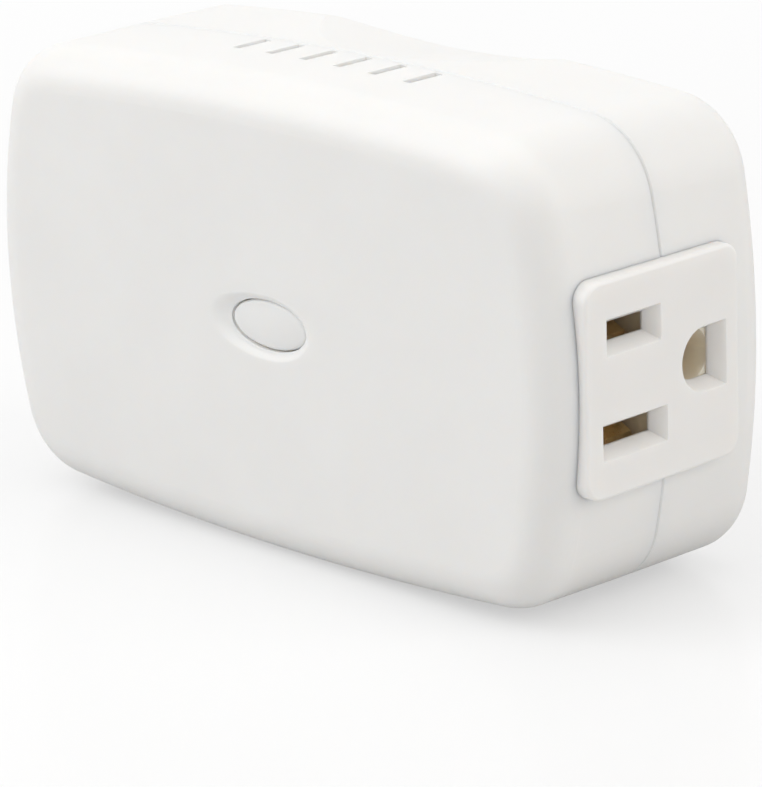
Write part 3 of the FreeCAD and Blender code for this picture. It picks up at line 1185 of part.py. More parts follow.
def make_small_parts():
    make_can("supply_capacitor", CAN_X, "can_up", "can_round", "can_height", CAN_LEADS)
    make_can("small_capacitor", SMALL_CAN_X, "small_can_up", "small_can_round", "small_can_height",
             SMALL_CAN_LEADS)
    make_moulded("optocoupler", COUPLER_X, COUPLER_UP, "coupler_length", "coupler_width", "coupler_height",
                 COUPLER_LEADS)
    make_moulded("bridge_rectifier", BRIDGE_X, "bridge_up", "coupler_length", "coupler_width",
                 "bridge_height", BRIDGE_LEADS)

    film = block("film_capacitor", FILM_LEFT, f"{FILM_LEFT} + film_length",
                 FILM_LOW, f"{FILM_LOW} + film_width", f"({SEAT} - film_height)", SEAT)
    soften("Fillet", film, on_y(f"({SEAT} - film_height)"), "film_corner")
    rods(film, "leads", FILM_LEADS, "wire_round", f"({SEAT} - film_corner)", LEAD_END)

    disc = body_named("varistor")
    middle = f"({BOARD_FRONT} - varistor_lift - varistor_round)"
    outline = Profile(disc, "disc", "XY", f"({VARISTOR_UP} - varistor_thickness / 2)")
    outline.circle(VARISTOR_X, middle, "varistor_round")
    pad(outline, "varistor_thickness")
    low, high = (number_of(f"{VARISTOR_UP} {sign} varistor_thickness / 2") for sign in "-+")
    soften("Fillet", disc, lambda spot: near(spot.z, low) or near(spot.z, high), "varistor_corner")
    rods(disc, "leads", VARISTOR_LEADS, "wire_round", f"({middle} + varistor_round / 2)", LEAD_END)

    resistors = body_named("dropper_resistors")
    resistors.AllowCompound = True
    axis = f"({SEAT} - resistor_round)"
    barrel = Profile(resistors, "barrels", "YZ", RESISTOR_LEFT)
    for up in RESISTOR_ROWS:
        barrel.circle(axis, up, "resistor_round")
    pad(barrel, "resistor_length")
    ends = number_of(RESISTOR_LEFT), number_of(f"{RESISTOR_LEFT} + resistor_length")
    soften("Fillet", resistors,
           lambda spot: near(spot.x, ends[0]) or near(spot.x, ends[1]), "resistor_corner")
    for up in RESISTOR_ROWS:
        bent_wire(resistors, RESISTOR_LEAD_X, up, axis)


def make_fuse():
    axis = f"({BOARD_FRONT} - fuse_lift)"
    left = f"({FUSE_X} - fuse_length / 2)"
    tube = body_named("fuse_tube")
    outline = Profile(tube, "tube", "YZ", f"({left} + clip_wall)").circle(axis, FUSE_UP, "fuse_round")
    pad(outline, "fuse_length - 2 * clip_wall")
    caps = body_named("fuse_caps")
    caps.AllowCompound = True
    clips = body_named("fuse_clips")
    clips.AllowCompound = True
    for side, start, bore in (("left", left, f"({left} + fuse_cap)"),
                              ("right", f"({left} + fuse_length - fuse_cap)",
                               f"({left} + fuse_length - fuse_cap)")):
        ring = Profile(caps, f"{side}_cap", "YZ", start).circle(axis, FUSE_UP, "fuse_cap_round")
        pad(ring, "fuse_cap")
        hollow = Profile(caps, f"{side}_bore", "YZ", bore).circle(axis, FUSE_UP, "fuse_round + screw_fit")
        pocket(hollow, "fuse_cap - clip_wall", back=side == "right")
        wide, inner = "(fuse_cap_round + screw_fit + clip_wall)", "(fuse_cap_round + screw_fit)"
        floor = f"({axis} + fuse_cap_round + screw_fit)"
        top = f"({axis} - fuse_cap_round * 0.6)"
        strip = Profile(clips, f"{side}_clip", "YZ", f"({start} + (fuse_cap - clip_width) / 2)")
        strip.polygon([(top, f"{FUSE_UP} - {wide}"), (f"({floor} + clip_wall)", f"{FUSE_UP} - {wide}"),
                       (f"({floor} + clip_wall)", f"{FUSE_UP} + {wide}"), (top, f"{FUSE_UP} + {wide}"),
                       (top, f"{FUSE_UP} + {inner}"), (floor, f"{FUSE_UP} + {inner}"),
                       (floor, f"{FUSE_UP} - {inner}"), (top, f"{FUSE_UP} - {inner}")])
        pad(strip, "clip_width")
    rods(clips, "leads", FUSE_LEADS, "wire_round", f"({floor} + clip_wall / 2)", LEAD_END)


def make_control_parts():
    chip = block("controller_chip", f"{CHIP_X} - chip_length / 2", f"{CHIP_X} + chip_length / 2",
                 "chip_up - chip_width / 2", "chip_up + chip_width / 2",
                 f"({CONTROL_FRONT} - chip_height)", CONTROL_FRONT)
    feet = Profile(chip, "leads", "XZ", f"({CONTROL_FRONT} - lead_thickness / 2)")
    for index in range(int(number_of("chip_lead_count"))):
        middle = f"({CHIP_X} + chip_lead_pitch * ({index} - (chip_lead_count - 1) / 2))"
        feet.rectangle(f"{middle} - chip_lead_width / 2", f"{middle} + chip_lead_width / 2",
                       "chip_up - chip_width / 2 - chip_lead_reach",
                       "chip_up + chip_width / 2 + chip_lead_reach")
    pad(feet, "lead_thickness / 2", back=True)

    crystal = block("crystal", f"{CRYSTAL_X} - crystal_length / 2", f"{CRYSTAL_X} + crystal_length / 2",
                    "crystal_up - crystal_width / 2", "crystal_up + crystal_width / 2",
                    f"({CONTROL_FRONT} - crystal_height)", CONTROL_FRONT)
    ends = [number_of(f"{CRYSTAL_X} {sign} crystal_length / 2") for sign in "-+"]
    sides = [number_of(f"crystal_up {sign} crystal_width / 2") for sign in "-+"]
    soften("Fillet", crystal, lambda spot: any(near(spot.x, end) for end in ends)
           and any(near(spot.z, side) for side in sides), "crystal_width / 2 - 0.1")

    shield = block("radio_shield", SHIELD_LEFT, f"{SHIELD_LEFT} + shield_side", "shield_low",
                   "shield_low + shield_side", f"({CONTROL_FRONT} - shield_height)", CONTROL_FRONT)
    slot(shield, "hollow", f"{SHIELD_LEFT} + shield_wall", f"{SHIELD_LEFT} + shield_side - shield_wall",
         "shield_low + shield_wall", "shield_low + shield_side - shield_wall",
         f"({CONTROL_FRONT} - shield_height + shield_wall)", f"({CONTROL_FRONT} + 1)")


# Places on the main board
SEAT = f"({BOARD_FRONT} - fit_gap)"
LEAD_END = f"({BOARD_BACK} + lead_stub)"
TAIL_END = f"({BOARD_FRONT} - lead_stub)"
CARRIER_FRONT = f"({BOARD_BACK} + fit_gap + carrier_foot)"
BLADE_SHOULDER = f"({CARRIER_FRONT} + carrier_floor)"
SHOULDER_END = "(-wall - fit_gap)"
CONTACT_BACK = f"({SOCKET_BACK_X} + fit_gap)"
BLADE_LEG_Y = f"({SLOT_LINE} + 1)"
LEG_PLACES = [(BLADE_LEG_Y, "(blade_pitch / 2)"), (BLADE_LEG_Y, "(-blade_pitch / 2)"), (GROUND_LINE, "0")]
CONTROL_POSTS = [(across, up)
                 for across in (f"({CONTROL_LEFT} + control_post_inset)",
                                f"({CONTROL_RIGHT} - control_post_right)")
                 for up in ("(control_height / 2 - control_post_inset)",
                            "(control_post_inset - control_height / 2)")]
BOARD_POSTS = [(f"({BOARD_LEFT} + post_from_left)", "0"),
               (f"({BOARD_RIGHT} - post_from_right)", f"({BOARD_HALF} - post_from_edge)"),
               (f"({BOARD_RIGHT} - post_from_right)", f"(post_from_edge - {BOARD_HALF})")]
SINK_PINS = [(f"({TRIAC_X} {sign} sink_pin_across)", f"({SINK_UP} + sink_wall / 2)") for sign in "-+"]

# Every lead that goes through the main board
TRIAC_LEGS = [(f"({TRIAC_X} + {step} * lead_pitch)",
               f"({SINK_UP} - pad_wall - triac_thickness / 2 - triac_leg_drop)")
              for step in (-1, 0, 1)]
CHOKE_LEADS = [(CHOKE_X, f"(choke_up {sign} (choke_round + choke_wire / 2))") for sign in "-+"]
FILM_LEADS = [(across, f"({FILM_LOW} + film_width / 2)")
              for across in (f"({FILM_LEFT} + film_lead_inset)",
                             f"({FILM_LEFT} + film_length - film_lead_inset)")]
VARISTOR_LEADS = around(VARISTOR_X, VARISTOR_UP, [("varistor_reach", "0"), ("(-varistor_reach)", "0")])
FUSE_LEADS = around(FUSE_X, FUSE_UP, [(f"{sign}(fuse_length - fuse_cap) / 2", "0") for sign in ("", "-")])
CAN_LEADS = around(CAN_X, "can_up", [("can_lead_pitch / 2", "0"), ("(-can_lead_pitch / 2)", "0")])
SMALL_CAN_LEADS = around(SMALL_CAN_X, "small_can_up",
                         [("can_lead_pitch / 2", "0"), ("(-can_lead_pitch / 2)", "0")])
RESISTOR_ROWS = [f"(resistor_up + {row} * resistor_pitch)" for row in (0, 1)]
RESISTOR_LEAD_X = [f"({RESISTOR_LEFT} - resistor_reach)",
                   f"({RESISTOR_LEFT} + resistor_length + resistor_reach)"]
RESISTOR_LEADS = [(across, up) for up in RESISTOR_ROWS for across in RESISTOR_LEAD_X]
COUPLER_LEADS = around(COUPLER_X, COUPLER_UP,
                       [(f"({step} * lead_pitch)", f"{sign}lead_row")
                        for step in (-1, 0, 1) for sign in ("-", "")])
BRIDGE_LEADS = around(BRIDGE_X, "bridge_up",
                      [(f"({step} * lead_pitch)", f"{sign}lead_row")
                       for step in (-1, 1) for sign in ("-", "")])
HEADER = [(HEADER_X, f"(header_low + {row} * header_pitch)") for row in range(int(number_of("header_count")))]
WIRES = (TRIAC_LEGS + CHOKE_LEADS + FILM_LEADS + VARISTOR_LEADS + FUSE_LEADS + CAN_LEADS + SMALL_CAN_LEADS
         + RESISTOR_LEADS + COUPLER_LEADS + BRIDGE_LEADS + HEADER)

make_front_shell()
make_rear_shell()
make_outlet_plate()
make_socket()
make_blade_contact("hot_contact", "(blade_pitch / 2)", "hot_contact_width")
make_blade_contact("neutral_contact", "(-blade_pitch / 2)", "neutral_contact_width")
make_ground_contact()
make_plug()
make_button()
make_main_board()
make_control_board()
screws("housing_screws", POSTS, "(-well_depth)", 1, "screw_round", "screw_length", "screw_head_round",
       "screw_head_height")
screws("board_screws", BOARD_POSTS, BOARD_FRONT, -1, "board_screw_round", "board_screw_length",
       "board_screw_head", "board_screw_head_height")
screws("control_board_screws", CONTROL_POSTS, CONTROL_BACK, 1, "board_screw_round", "board_screw_length",
       "board_screw_head", "board_screw_head_height")
make_power_parts()
make_choke()
make_small_parts()
make_fuse()
make_control_parts()
doc.recompute()

# Checks of every object, and the export
os.makedirs("parts", exist_ok=True)
for item in doc.Objects:
    if "Invalid" in item.State or "Error" in item.State:
        raise RuntimeError(f"{item.Name}: {item.State} {item.getStatusString()}")
for body in doc.findObjects("PartDesign::Body"):
    if body.Shape.isNull() or not body.Shape.isValid():
        raise RuntimeError(f"{body.Label} has no valid shape")
    body.Shape.exportStep(f"parts/{body.Label}.step")
    print(body.Label, len(body.Shape.Solids), "solids", round(body.Shape.Volume), "mm3")
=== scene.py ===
"""Finishes, a few modelled pieces and the studio for a plug-in lamp dimmer module.

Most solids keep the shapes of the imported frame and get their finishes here. Modelled anew are the
soft dish round the button, the button's crowned cap, the outlet plate's tight outline, the choke's
separate turns, the fuse's glass tube and wire, and the solder joints.
"""

import math

import bpy
from bpy.props import FloatProperty, FloatVectorProperty, IntProperty, PointerProperty
from bpy.types import Operator, Panel, PropertyGroup
from mathutils import Matrix, Vector


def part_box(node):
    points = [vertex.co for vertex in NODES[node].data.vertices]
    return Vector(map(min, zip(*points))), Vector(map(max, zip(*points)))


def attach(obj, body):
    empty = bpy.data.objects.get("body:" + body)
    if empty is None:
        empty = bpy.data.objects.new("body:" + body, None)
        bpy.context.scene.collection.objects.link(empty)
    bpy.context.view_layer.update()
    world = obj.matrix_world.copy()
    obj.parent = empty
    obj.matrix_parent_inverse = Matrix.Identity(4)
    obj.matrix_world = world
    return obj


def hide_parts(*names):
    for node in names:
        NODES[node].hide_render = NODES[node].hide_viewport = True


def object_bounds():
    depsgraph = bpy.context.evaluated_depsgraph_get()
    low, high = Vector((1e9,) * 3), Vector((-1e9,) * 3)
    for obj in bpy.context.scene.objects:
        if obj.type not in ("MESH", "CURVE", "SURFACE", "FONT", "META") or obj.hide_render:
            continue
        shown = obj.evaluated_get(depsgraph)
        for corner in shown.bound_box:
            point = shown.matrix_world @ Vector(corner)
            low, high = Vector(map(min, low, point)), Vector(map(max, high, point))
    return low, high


bl_info = {
    "name": "Lamp dimmer module",
    "version": (1, 0, 0),
    "blender": (4, 5, 0),
    "location": "3D View > Sidebar > Dimmer",
    "description": "Dresses and lights the packed solids of a plug-in lamp dimmer module",
    "category": "Object",
}

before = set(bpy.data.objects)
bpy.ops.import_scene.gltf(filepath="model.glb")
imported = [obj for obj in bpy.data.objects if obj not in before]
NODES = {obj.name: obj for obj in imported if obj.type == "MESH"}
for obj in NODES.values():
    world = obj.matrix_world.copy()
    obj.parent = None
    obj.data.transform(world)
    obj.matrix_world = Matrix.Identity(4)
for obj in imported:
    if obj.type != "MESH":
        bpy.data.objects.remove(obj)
CAD_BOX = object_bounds()

MM = 0.001
HOUSING, BUTTON = "housing", "button"
QUARTER = math.radians(90)
FACING_FRONT = (QUARTER, 0, 0)
FACING_SIDE = (0, QUARTER, 0)
EVEN = (1.0, 1.0, 1.0)
WHITE = (1.0, 1.0, 1.0)


# ---------------------------------------------------------------- settings


def colour(name, description, default):
    return FloatVectorProperty(name=name, description=description, default=default, size=3,
                               min=0.0, max=1.0, subtype="COLOR")


def length(name, description, default):
    return FloatProperty(name=name, description=description, default=default, min=0.0,
                         unit="LENGTH")


def share(name, description, default):
    return FloatProperty(name=name, description=description, default=default, min=0.0, max=1.0,
                         subtype="FACTOR")


def angle(name, description, default):
    return FloatProperty(name=name, description=description, default=default, subtype="ANGLE")


def power(name, description, default):
    return FloatProperty(name=name, description=description, default=default, min=0.0,
                         unit="POWER")


def four_sides(name, description, default, unit="NONE"):
    return FloatVectorProperty(name=name, description=description + ": right, top, left, bottom",
                               default=default, size=4, min=0.0, unit=unit)


class MouldingSettings(PropertyGroup):
    white: colour("Housing", "Colour of both shells", (0.87, 0.862, 0.845))
    plate_white: colour("Outlet plate", "Colour of the outlet plate", (0.87, 0.855, 0.835))
    button_white: colour("Button", "Colour of the button", (0.85, 0.845, 0.83))
    inner_white: colour("Inner mouldings", "Colour of the outlet's block and the blade carrier",
                        (0.97, 0.85, 0.69))
    roughness: share("Roughness", "Roughness of the shells", 0.42)
    button_roughness: share("Button roughness", "Roughness of the button", 0.38)
    plate_roughness: share("Plate roughness", "Roughness of the outlet plate", 0.36)
    inner_roughness: share("Inner roughness", "Roughness of the inner mouldings", 0.5)
    grain: length("Grain", "Size of the mould's fine texture", 0.22 * MM)
    grain_depth: length("Grain depth", "Depth of that texture", 0.0035 * MM)
    fine_depth: length("Fine depth", "Depth of that texture on the button and the outlet plate",
                       0.00245 * MM)
    translucence: share("Translucence", "Share of light that scatters inside the white plastic",
                        0.8)
    scatter: length("Scatter", "How far that light travels", 1.5 * MM)


class ButtonSettings(PropertyGroup):
    across: length("Across", "Button's middle, right of the front face's middle", 2.0 * MM)
    half_width: length("Half width", "Half of the button's long axis", 6.72 * MM)
    half_height: length("Half height", "Half of the button's short axis", 3.12 * MM)
    recess: length("Recess", "Button's crown behind the front face", 0.3 * MM)
    crown: length("Crown", "How far the crown stands above the button's edge", 0.3 * MM)
    edge: length("Edge", "Rounding of the button's edge", 0.6 * MM)
    stem: length("Stem", "Radius of the stem behind the button", 1.6 * MM)
    stem_length: length("Stem length", "How far the stem stands behind the hidden rim", 0.7 * MM)
    rim_wall: length("Rim wall", "Thickness of the button's hidden rim", 1.0 * MM)


class DishSettings(PropertyGroup):
    half_width: length("Half width", "Half of the dish's long axis", 10.5 * MM)
    half_height: length("Half height", "Half of the dish's short axis", 5.1 * MM)
    sink: length("Sink", "Dish's outline behind the front face", 0.002 * MM)
    level: four_sides("Level", "Share of the way inwards that stays level",
                      (0.75, 0.62, 0.0, 0.38))
    drop: four_sides("Drop", "How far the dish goes down",
                     (0.42 * MM, 0.45 * MM, 0.66 * MM, 0.50 * MM), "LENGTH")
    lip: length("Lip", "Rounding of the edge round the button's hole", 0.12 * MM)
    hole_half_width: length("Hole half width", "Half of the hole's long axis", 6.85 * MM)
    hole_half_height: length("Hole half height", "Half of the hole's short axis", 3.25 * MM)
    hole_start: length("Hole start", "Where the CAD hole's wall takes over", 0.73 * MM)


class OutletSettings(PropertyGroup):
    half_side: length("Half side", "Half of the plate's side", 13.2 * MM)
    corner: length("Corner", "Radius of the plate's corners", 2.4 * MM)
    rim: length("Rim", "Width of the plate's rounded rim", 0.7 * MM)
    outwards: length("Outwards", "How far the outline is drawn outwards into the gap", 0.1 * MM)


class MetalSettings(PropertyGroup):
    blade: colour("Blades", "Nickel plating of the blades and the ground pin", (0.74, 0.72, 0.68))
    brass: colour("Contacts", "Brass of the outlet's contacts", (0.93, 0.72, 0.44))
    steel: colour("Screws", "Zinc plating of the screws", (0.62, 0.63, 0.64))
    copper: colour("Winding", "Enamelled copper of the choke", (0.70, 0.25, 0.08))
    aluminium: colour("Heat sink", "Bare aluminium", (0.80, 0.81, 0.82))
    brushing: length("Brushing", "Width of the fine lines on blades and contacts", 0.06 * MM)


class BoardSettings(PropertyGroup):
    mask: colour("Solder mask", "Green lacquer of the boards", (0.012, 0.115, 0.045))
    track: colour("Tracks", "Lacquer over the copper tracks", (0.03, 0.20, 0.075))
    track_pitch: length("Track pitch", "From one track to the next", 2.54 * MM)
    solder_reach: length("Solder's reach", "Foot of a solder joint beyond its lead", 0.42 * MM)
    solder_height: length("Solder height", "Height of a solder joint", 0.8 * MM)


class WindingSettings(PropertyGroup):
    turns: IntProperty(name="Turns", description="Turns of wire round the choke's core",
                       default=26, min=3)
    step: angle("Step", "From one turn to the next", math.radians(12))
    wire: length("Wire", "Radius of the choke's wire", 0.5 * MM)
    clearance: length("Clearance", "From the wire to the core", 0.05 * MM)
    bend: length("Bend", "Radius of the wire's middle at the core's corners", 0.65 * MM)
    bore: length("Bore", "Radius of the core's hole", 5.6 * MM)


class FuseSettings(PropertyGroup):
    lip: length("Lip", "Length of the glass tube's drawn-in ends", 0.25 * MM)
    end_share: share("Ends", "Radius of those ends, as a share of the tube's", 0.94)
    bore_share: share("Bore", "Radius of the bore, as a share of the tube's", 0.7)
    wire: length("Wire", "Radius of the thin wire", 0.11 * MM)
    sag: length("Sag", "How far the wire hangs down in the middle", 0.35 * MM)


class StudioSettings(PropertyGroup):
    floor: colour("Floor", "Colour of the floor as it lights the module", (0.72, 0.72, 0.72))
    floor_seen: colour("Floor seen", "Colour of the floor that the camera sees",
                       (0.90, 0.90, 0.90))
    floor_gloss: share("Floor's roughness", "Roughness of the floor", 0.22)
    floor_white: share("Floor's white", "Share of pure white in the floor near the module", 0.5)
    floor_near: length("Floor near", "Distance at which that share starts to grow", 0.16)
    floor_fade: length("Floor fade", "Distance over which it grows to all white", 0.25)
    floor_side: length("Floor side", "Length of the floor's sides", 6.0)
    overhead: power("Overhead", "Power of the lamp overhead", 3.0)
    front: power("Front", "Power of the lamp at the front left", 6.2)
    side: power("Side", "Power of the lamp at the right", 3.6)
    fill: power("Fill", "Power of the lamp by the camera", 0.3)
    surround: share("Surround", "Level of the light from all round", 0.55)
    camera: FloatVectorProperty(name="Camera", description="Place of the camera", size=3,
                                subtype="XYZ", unit="LENGTH", default=(0.3785, -0.3746, 0.1481))
    azimuth: angle("Azimuth", "Camera's bearing, 0 looks along +Y", math.radians(46.6))
    elevation: angle("Elevation", "Camera above the horizon", math.radians(17.3))
    roll: angle("Roll", "Camera's turn about its line of sight", -0.03504)
    lens: FloatProperty(name="Lens", description="Focal length in millimetres", default=194.9,
                        min=1.0)


SETTINGS = {
    "dimmer_moulding": MouldingSettings,
    "dimmer_button": ButtonSettings,
    "dimmer_dish": DishSettings,
    "dimmer_outlet": OutletSettings,
    "dimmer_metal": MetalSettings,
    "dimmer_board": BoardSettings,
    "dimmer_winding": WindingSettings,
    "dimmer_fuse": FuseSettings,
    "dimmer_studio": StudioSettings,
}


# ---------------------------------------------------------------- shader maths


class Signal:
    """One output of a node; Python's operators on it add Math nodes."""

    def __init__(self, finish, socket):
        self.finish = finish
        self.socket = socket

    def maths(self, operation, *values):
        return self.finish.node("Math", {"operation": operation}, dict(enumerate(values)))

    def __add__(self, other):
        return self.maths("ADD", self, other)

    __radd__ = __add__

    def __sub__(self, other):
        return self.maths("SUBTRACT", self, other)

    def __rsub__(self, other):
        return self.maths("SUBTRACT", other, self)

    def __mul__(self, other):
        return self.maths("MULTIPLY", self, other)

    __rmul__ = __mul__

    def __truediv__(self, other):
        return self.maths("DIVIDE", self, other)

    def __gt__(self, other):
        return self.maths("GREATER_THAN", self, other)

    def __lt__(self, other):
        return self.maths("LESS_THAN", self, other)

    def size(self):
        return self.maths("ABSOLUTE", self)

    def root(self):
        return self.maths("SQRT", self)

    def rest(self, step):
        """What is left over after whole steps, never below nought."""
        return self.maths("FLOORED_MODULO", self, step)

    def least(self, other):
        return self.maths("MINIMUM", self, other)

    def most(self, other):
        return self.maths("MAXIMUM", self, other)

    def between(self, low, high):
        """1 from low to high, and 0 outside."""
        return (self > low) * (self < high)

    def sway(self, amount):
        """Noise from 0 to 1 made to swing round nought by half of that amount."""
        return (self - 0.5) * amount


class Finish:
    """A material, or the surround, built one node at a time."""

    def __init__(self, name, surround=False):
        self.material = bpy.data.worlds.new(name) if surround else bpy.data.materials.new(name)
        self.material.use_nodes = True
        self.tree = self.material.node_tree
        self.tree.nodes.clear()
        ending = "World" if surround else "Material"
        self.closing = self.tree.nodes.new("ShaderNodeOutput" + ending)

    def node(self, kind, settings=None, sockets=None, output=0):
        """Adds a node, sets it up, fills or links its sockets and gives one output."""
        made = self.tree.nodes.new("ShaderNode" + kind)
        for name, value in (settings or {}).items():
            setattr(made, name, value)
        for name, value in (sockets or {}).items():
            self.feed(made.inputs[name], value)
        return Signal(self, made.outputs[output])

    def feed(self, socket, value):
        if isinstance(value, Signal):
            self.tree.links.new(value.socket, socket)
        elif socket.type == "RGBA":
            socket.default_value = (*tuple(value)[:3], 1.0)
        else:
            socket.default_value = value

    def place(self):
        return self.node("TexCoord", output="Object")

    def axes(self):
        """Three coordinates: across, along and up."""
        apart = self.node("SeparateXYZ", sockets={"Vector": self.place()})
        return [Signal(self, apart.socket.node.outputs[name]) for name in "XYZ"]

    def noise(self, size, detail=2.0, stretch=EVEN):
        """Noise from 0 to 1 with patches of that size; stretch draws it out along an axis."""
        scale = [1 / (size * way) for way in stretch]
        spread = self.node("Mapping", sockets={"Vector": self.place(), "Scale": scale})
        return self.node("TexNoise", sockets={"Vector": spread, "Scale": 1.0, "Detail": detail})

    def mix(self, mask, first, second):
        """Colour from first, where the mask is 0, to second, where it is 1."""
        return self.node("Mix", {"data_type": "RGBA", "clamp_factor": True},
                         {"Factor": mask, 6: first, 7: second}, 2)

    def bump(self, height, depth):
        return self.node("Bump", sockets={"Height": height, "Distance": depth, "Strength": 1.0})

    def end(self, shader):
        self.tree.links.new(shader.socket, self.closing.inputs["Surface"])
        return self.material

    def close(self, **sockets):
        """Ends in a Principled shader; an underscore in a name stands for a space."""
        return self.end(self.node("BsdfPrincipled", sockets={
            name.replace("_", " "): value for name, value in sockets.items()}))


# ---------------------------------------------------------------- finishes


def shaded(tone, factor):
    return tuple(min(1.0, channel * factor) for channel in tuple(tone)[:3])


def cloudy(finish, tone, spread, mask):
    """The tone, darker and lighter by the spread from place to place."""
    return finish.mix(mask, shaded(tone, 1 - spread), shaded(tone, 1 + spread))


def moulded(name, tone, roughness, grain, depth, spread=0.02, translucence=0.0, scatter=MM):
    """Moulded plastic: a fine eroded grain, a faint cloudiness, and gloss that varies a little."""
    finish = Finish(name)
    fine = finish.noise(grain, detail=3.0)
    cloud = finish.noise(11 * MM)
    return finish.close(
        Base_Color=cloudy(finish, tone, spread, cloud),
        Roughness=roughness + cloud.sway(0.08) + fine.sway(0.10),
        Normal=finish.bump(fine, depth), IOR=1.49,
        Subsurface_Weight=translucence, Subsurface_Radius=(1.0, 0.9, 0.8),
        Subsurface_Scale=scatter)


def brushed(name, tone, roughness, line, stretch=EVEN, spread=0.10, depth=0.0006 * MM):
    """Plated or rolled metal with fine lines along one way and broad, dull patches."""
    finish = Finish(name)
    lines = finish.noise(line, stretch=stretch)
    patches = finish.noise(3.5 * MM, detail=3.0)
    return finish.close(
        Base_Color=cloudy(finish, tone, spread, patches), Metallic=1.0,
        Roughness=roughness + lines.sway(0.16) + patches.sway(0.14),
        Normal=finish.bump(lines, depth))


def lacquered(name, tone, roughness, spread=0.06, dimple=0.9 * MM, depth=0.01 * MM, coat=0.0):
    """Dipped epoxy or enamel: glossy, with soft dimples."""
    finish = Finish(name)
    dimples = finish.noise(dimple)
    cloud = finish.noise(4 * MM)
    return finish.close(
        Base_Color=cloudy(finish, tone, spread, cloud), Coat_Weight=coat,
        Roughness=roughness + cloud.sway(0.10), Normal=finish.bump(dimples, depth))


def board_finish(name, settings):
    """Solder mask over copper tracks that run across the board and break off here and there."""
    finish = Finish(name)
    up = finish.axes()[2]
    lane = (up / settings.track_pitch).rest(1.0)
    breaks = finish.noise(9 * MM, detail=1.0, stretch=(3.0, 1.0, 0.2))
    track = lane.between(0.3, 0.7) * (breaks > 0.5)
    fine = finish.noise(0.35 * MM)
    return finish.close(
        Base_Color=finish.mix(track, tuple(settings.mask), tuple(settings.track)),
        Roughness=0.28 + fine.sway(0.12),
        Normal=finish.bump(track + fine * 0.12, 0.035 * MM))


def banded_resistor(name, box):
    """Beige lacquer with four colour rings, spaced along the resistor's body, and bare leads."""
    finish = Finish(name)
    across = finish.axes()[0]
    lead, half_ring = 1.75 * MM, 0.45 * MM
    low, high = box
    body_left, body_right = low.x + lead, high.x - lead
    base = finish.mix(finish.noise(1.6 * MM), (0.52, 0.36, 0.20), (0.60, 0.43, 0.25))
    brown, black, orange, gold = ((0.33, 0.12, 0.03), (0.02, 0.02, 0.02), (0.62, 0.20, 0.02),
                                  (0.55, 0.38, 0.08))
    for place, tone in ((0.18, brown), (0.36, black), (0.54, orange), (0.82, gold)):
        middle = body_left + place * (body_right - body_left)
        ring_mask = across.between(middle - half_ring, middle + half_ring)
        base = finish.mix(ring_mask, base, tone)
    wire = (across < body_left).most(across > body_right)
    dimples = finish.noise(0.6 * MM)
    return finish.close(
        Base_Color=finish.mix(wire, base, (0.66, 0.65, 0.62)), Metallic=wire,
        Roughness=0.34 + dimples.sway(0.1), Normal=finish.bump(dimples, 0.012 * MM))


def sleeved_can(name, box, tone, stripe):
    """A capacitor's shrunk sleeve with a pale stripe below, and a bare lid with a scored cross."""
    finish = Finish(name)
    across, along, up = finish.axes()
    low, high = box
    radius = (high.x - low.x) / 2
    half_stripe, stripe_top = 0.35 * radius, -0.5 * radius
    lid_radius, lid_depth, half_score = 0.86 * radius, 0.25 * MM, 0.12 * MM
    aside, above = across - (low.x + high.x) / 2, up - (low.z + high.z) / 2
    side = aside.between(-half_stripe, half_stripe) * (above < stripe_top)
    in_round = (aside * aside + above * above) < lid_radius ** 2
    lid = (along < low.y + lid_depth) * in_round
    score = (aside.size() < half_score).most(above.size() < half_score) * lid
    fine = finish.noise(0.5 * MM)
    base = finish.mix(lid, finish.mix(side, tone, stripe), (0.70, 0.71, 0.72))
    return finish.close(
        Base_Color=base, Metallic=lid, Roughness=0.36 + fine.sway(0.12),
        Normal=finish.bump(fine * 0.1 - score, 0.06 * MM))


def pressed_powder(name):
    """Pressed iron powder: matt grey with dark and light grains."""
    finish = Finish(name)
    grains = finish.noise(0.18 * MM, detail=3.0)
    return finish.close(
        Base_Color=finish.mix(grains, (0.055, 0.06, 0.065), (0.16, 0.17, 0.175)),
        Roughness=0.78 + grains.sway(0.2), Normal=finish.bump(grains, 0.02 * MM))


def clear_glass(name):
    finish = Finish(name)
    ripple = finish.noise(2.5 * MM)
    return finish.close(
        Base_Color=(0.93, 0.97, 0.95), Roughness=0.03 + ripple * 0.02, Transmission_Weight=1.0,
        IOR=1.47, Normal=finish.bump(ripple, 0.01 * MM))


# ---------------------------------------------------------------- modelling helpers


def only(*objects):
    """Selects these objects and no others; the last one becomes the active one."""
    if bpy.context.object and bpy.context.object.mode != "OBJECT":
        bpy.ops.object.mode_set(mode="OBJECT")
    bpy.ops.object.select_all(action="DESELECT")
    for item in objects:
        item.select_set(True)
        bpy.context.view_layer.objects.active = item


def settle(item):
    """Puts the object's place into its mesh."""
    only(item)
    bpy.ops.object.transform_apply(location=True, rotation=True, scale=True)
    return item


def paint(item, material):
    item.data.materials.clear()
    item.data.materials.append(material)
    return item


def dress(material, *nodes):
    """Gives CAD nodes their finish; they keep their meshes and the normals they came with."""
    for node in nodes:
        paint(NODES[node], material)


def fit(item, name, material, slot, *stands_for, body=HOUSING):
    """Finishes a new piece, ties it to its body and hides the CAD nodes that it stands for."""
    settle(item).name = name
    paint(item, material)
    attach(item, body)
    if stands_for:
        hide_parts(*stands_for)
    return item


def placed(name, mesh):
    """An object for a mesh that is already at its place."""
    item = bpy.data.objects.new(name, mesh)
    bpy.context.collection.objects.link(item)
    return item


def edit(item, action="SELECT"):
    """Opens the item's mesh with all or none of it selected."""
    only(item)
    bpy.ops.object.mode_set(mode="EDIT")
    bpy.ops.mesh.select_all(action=action)


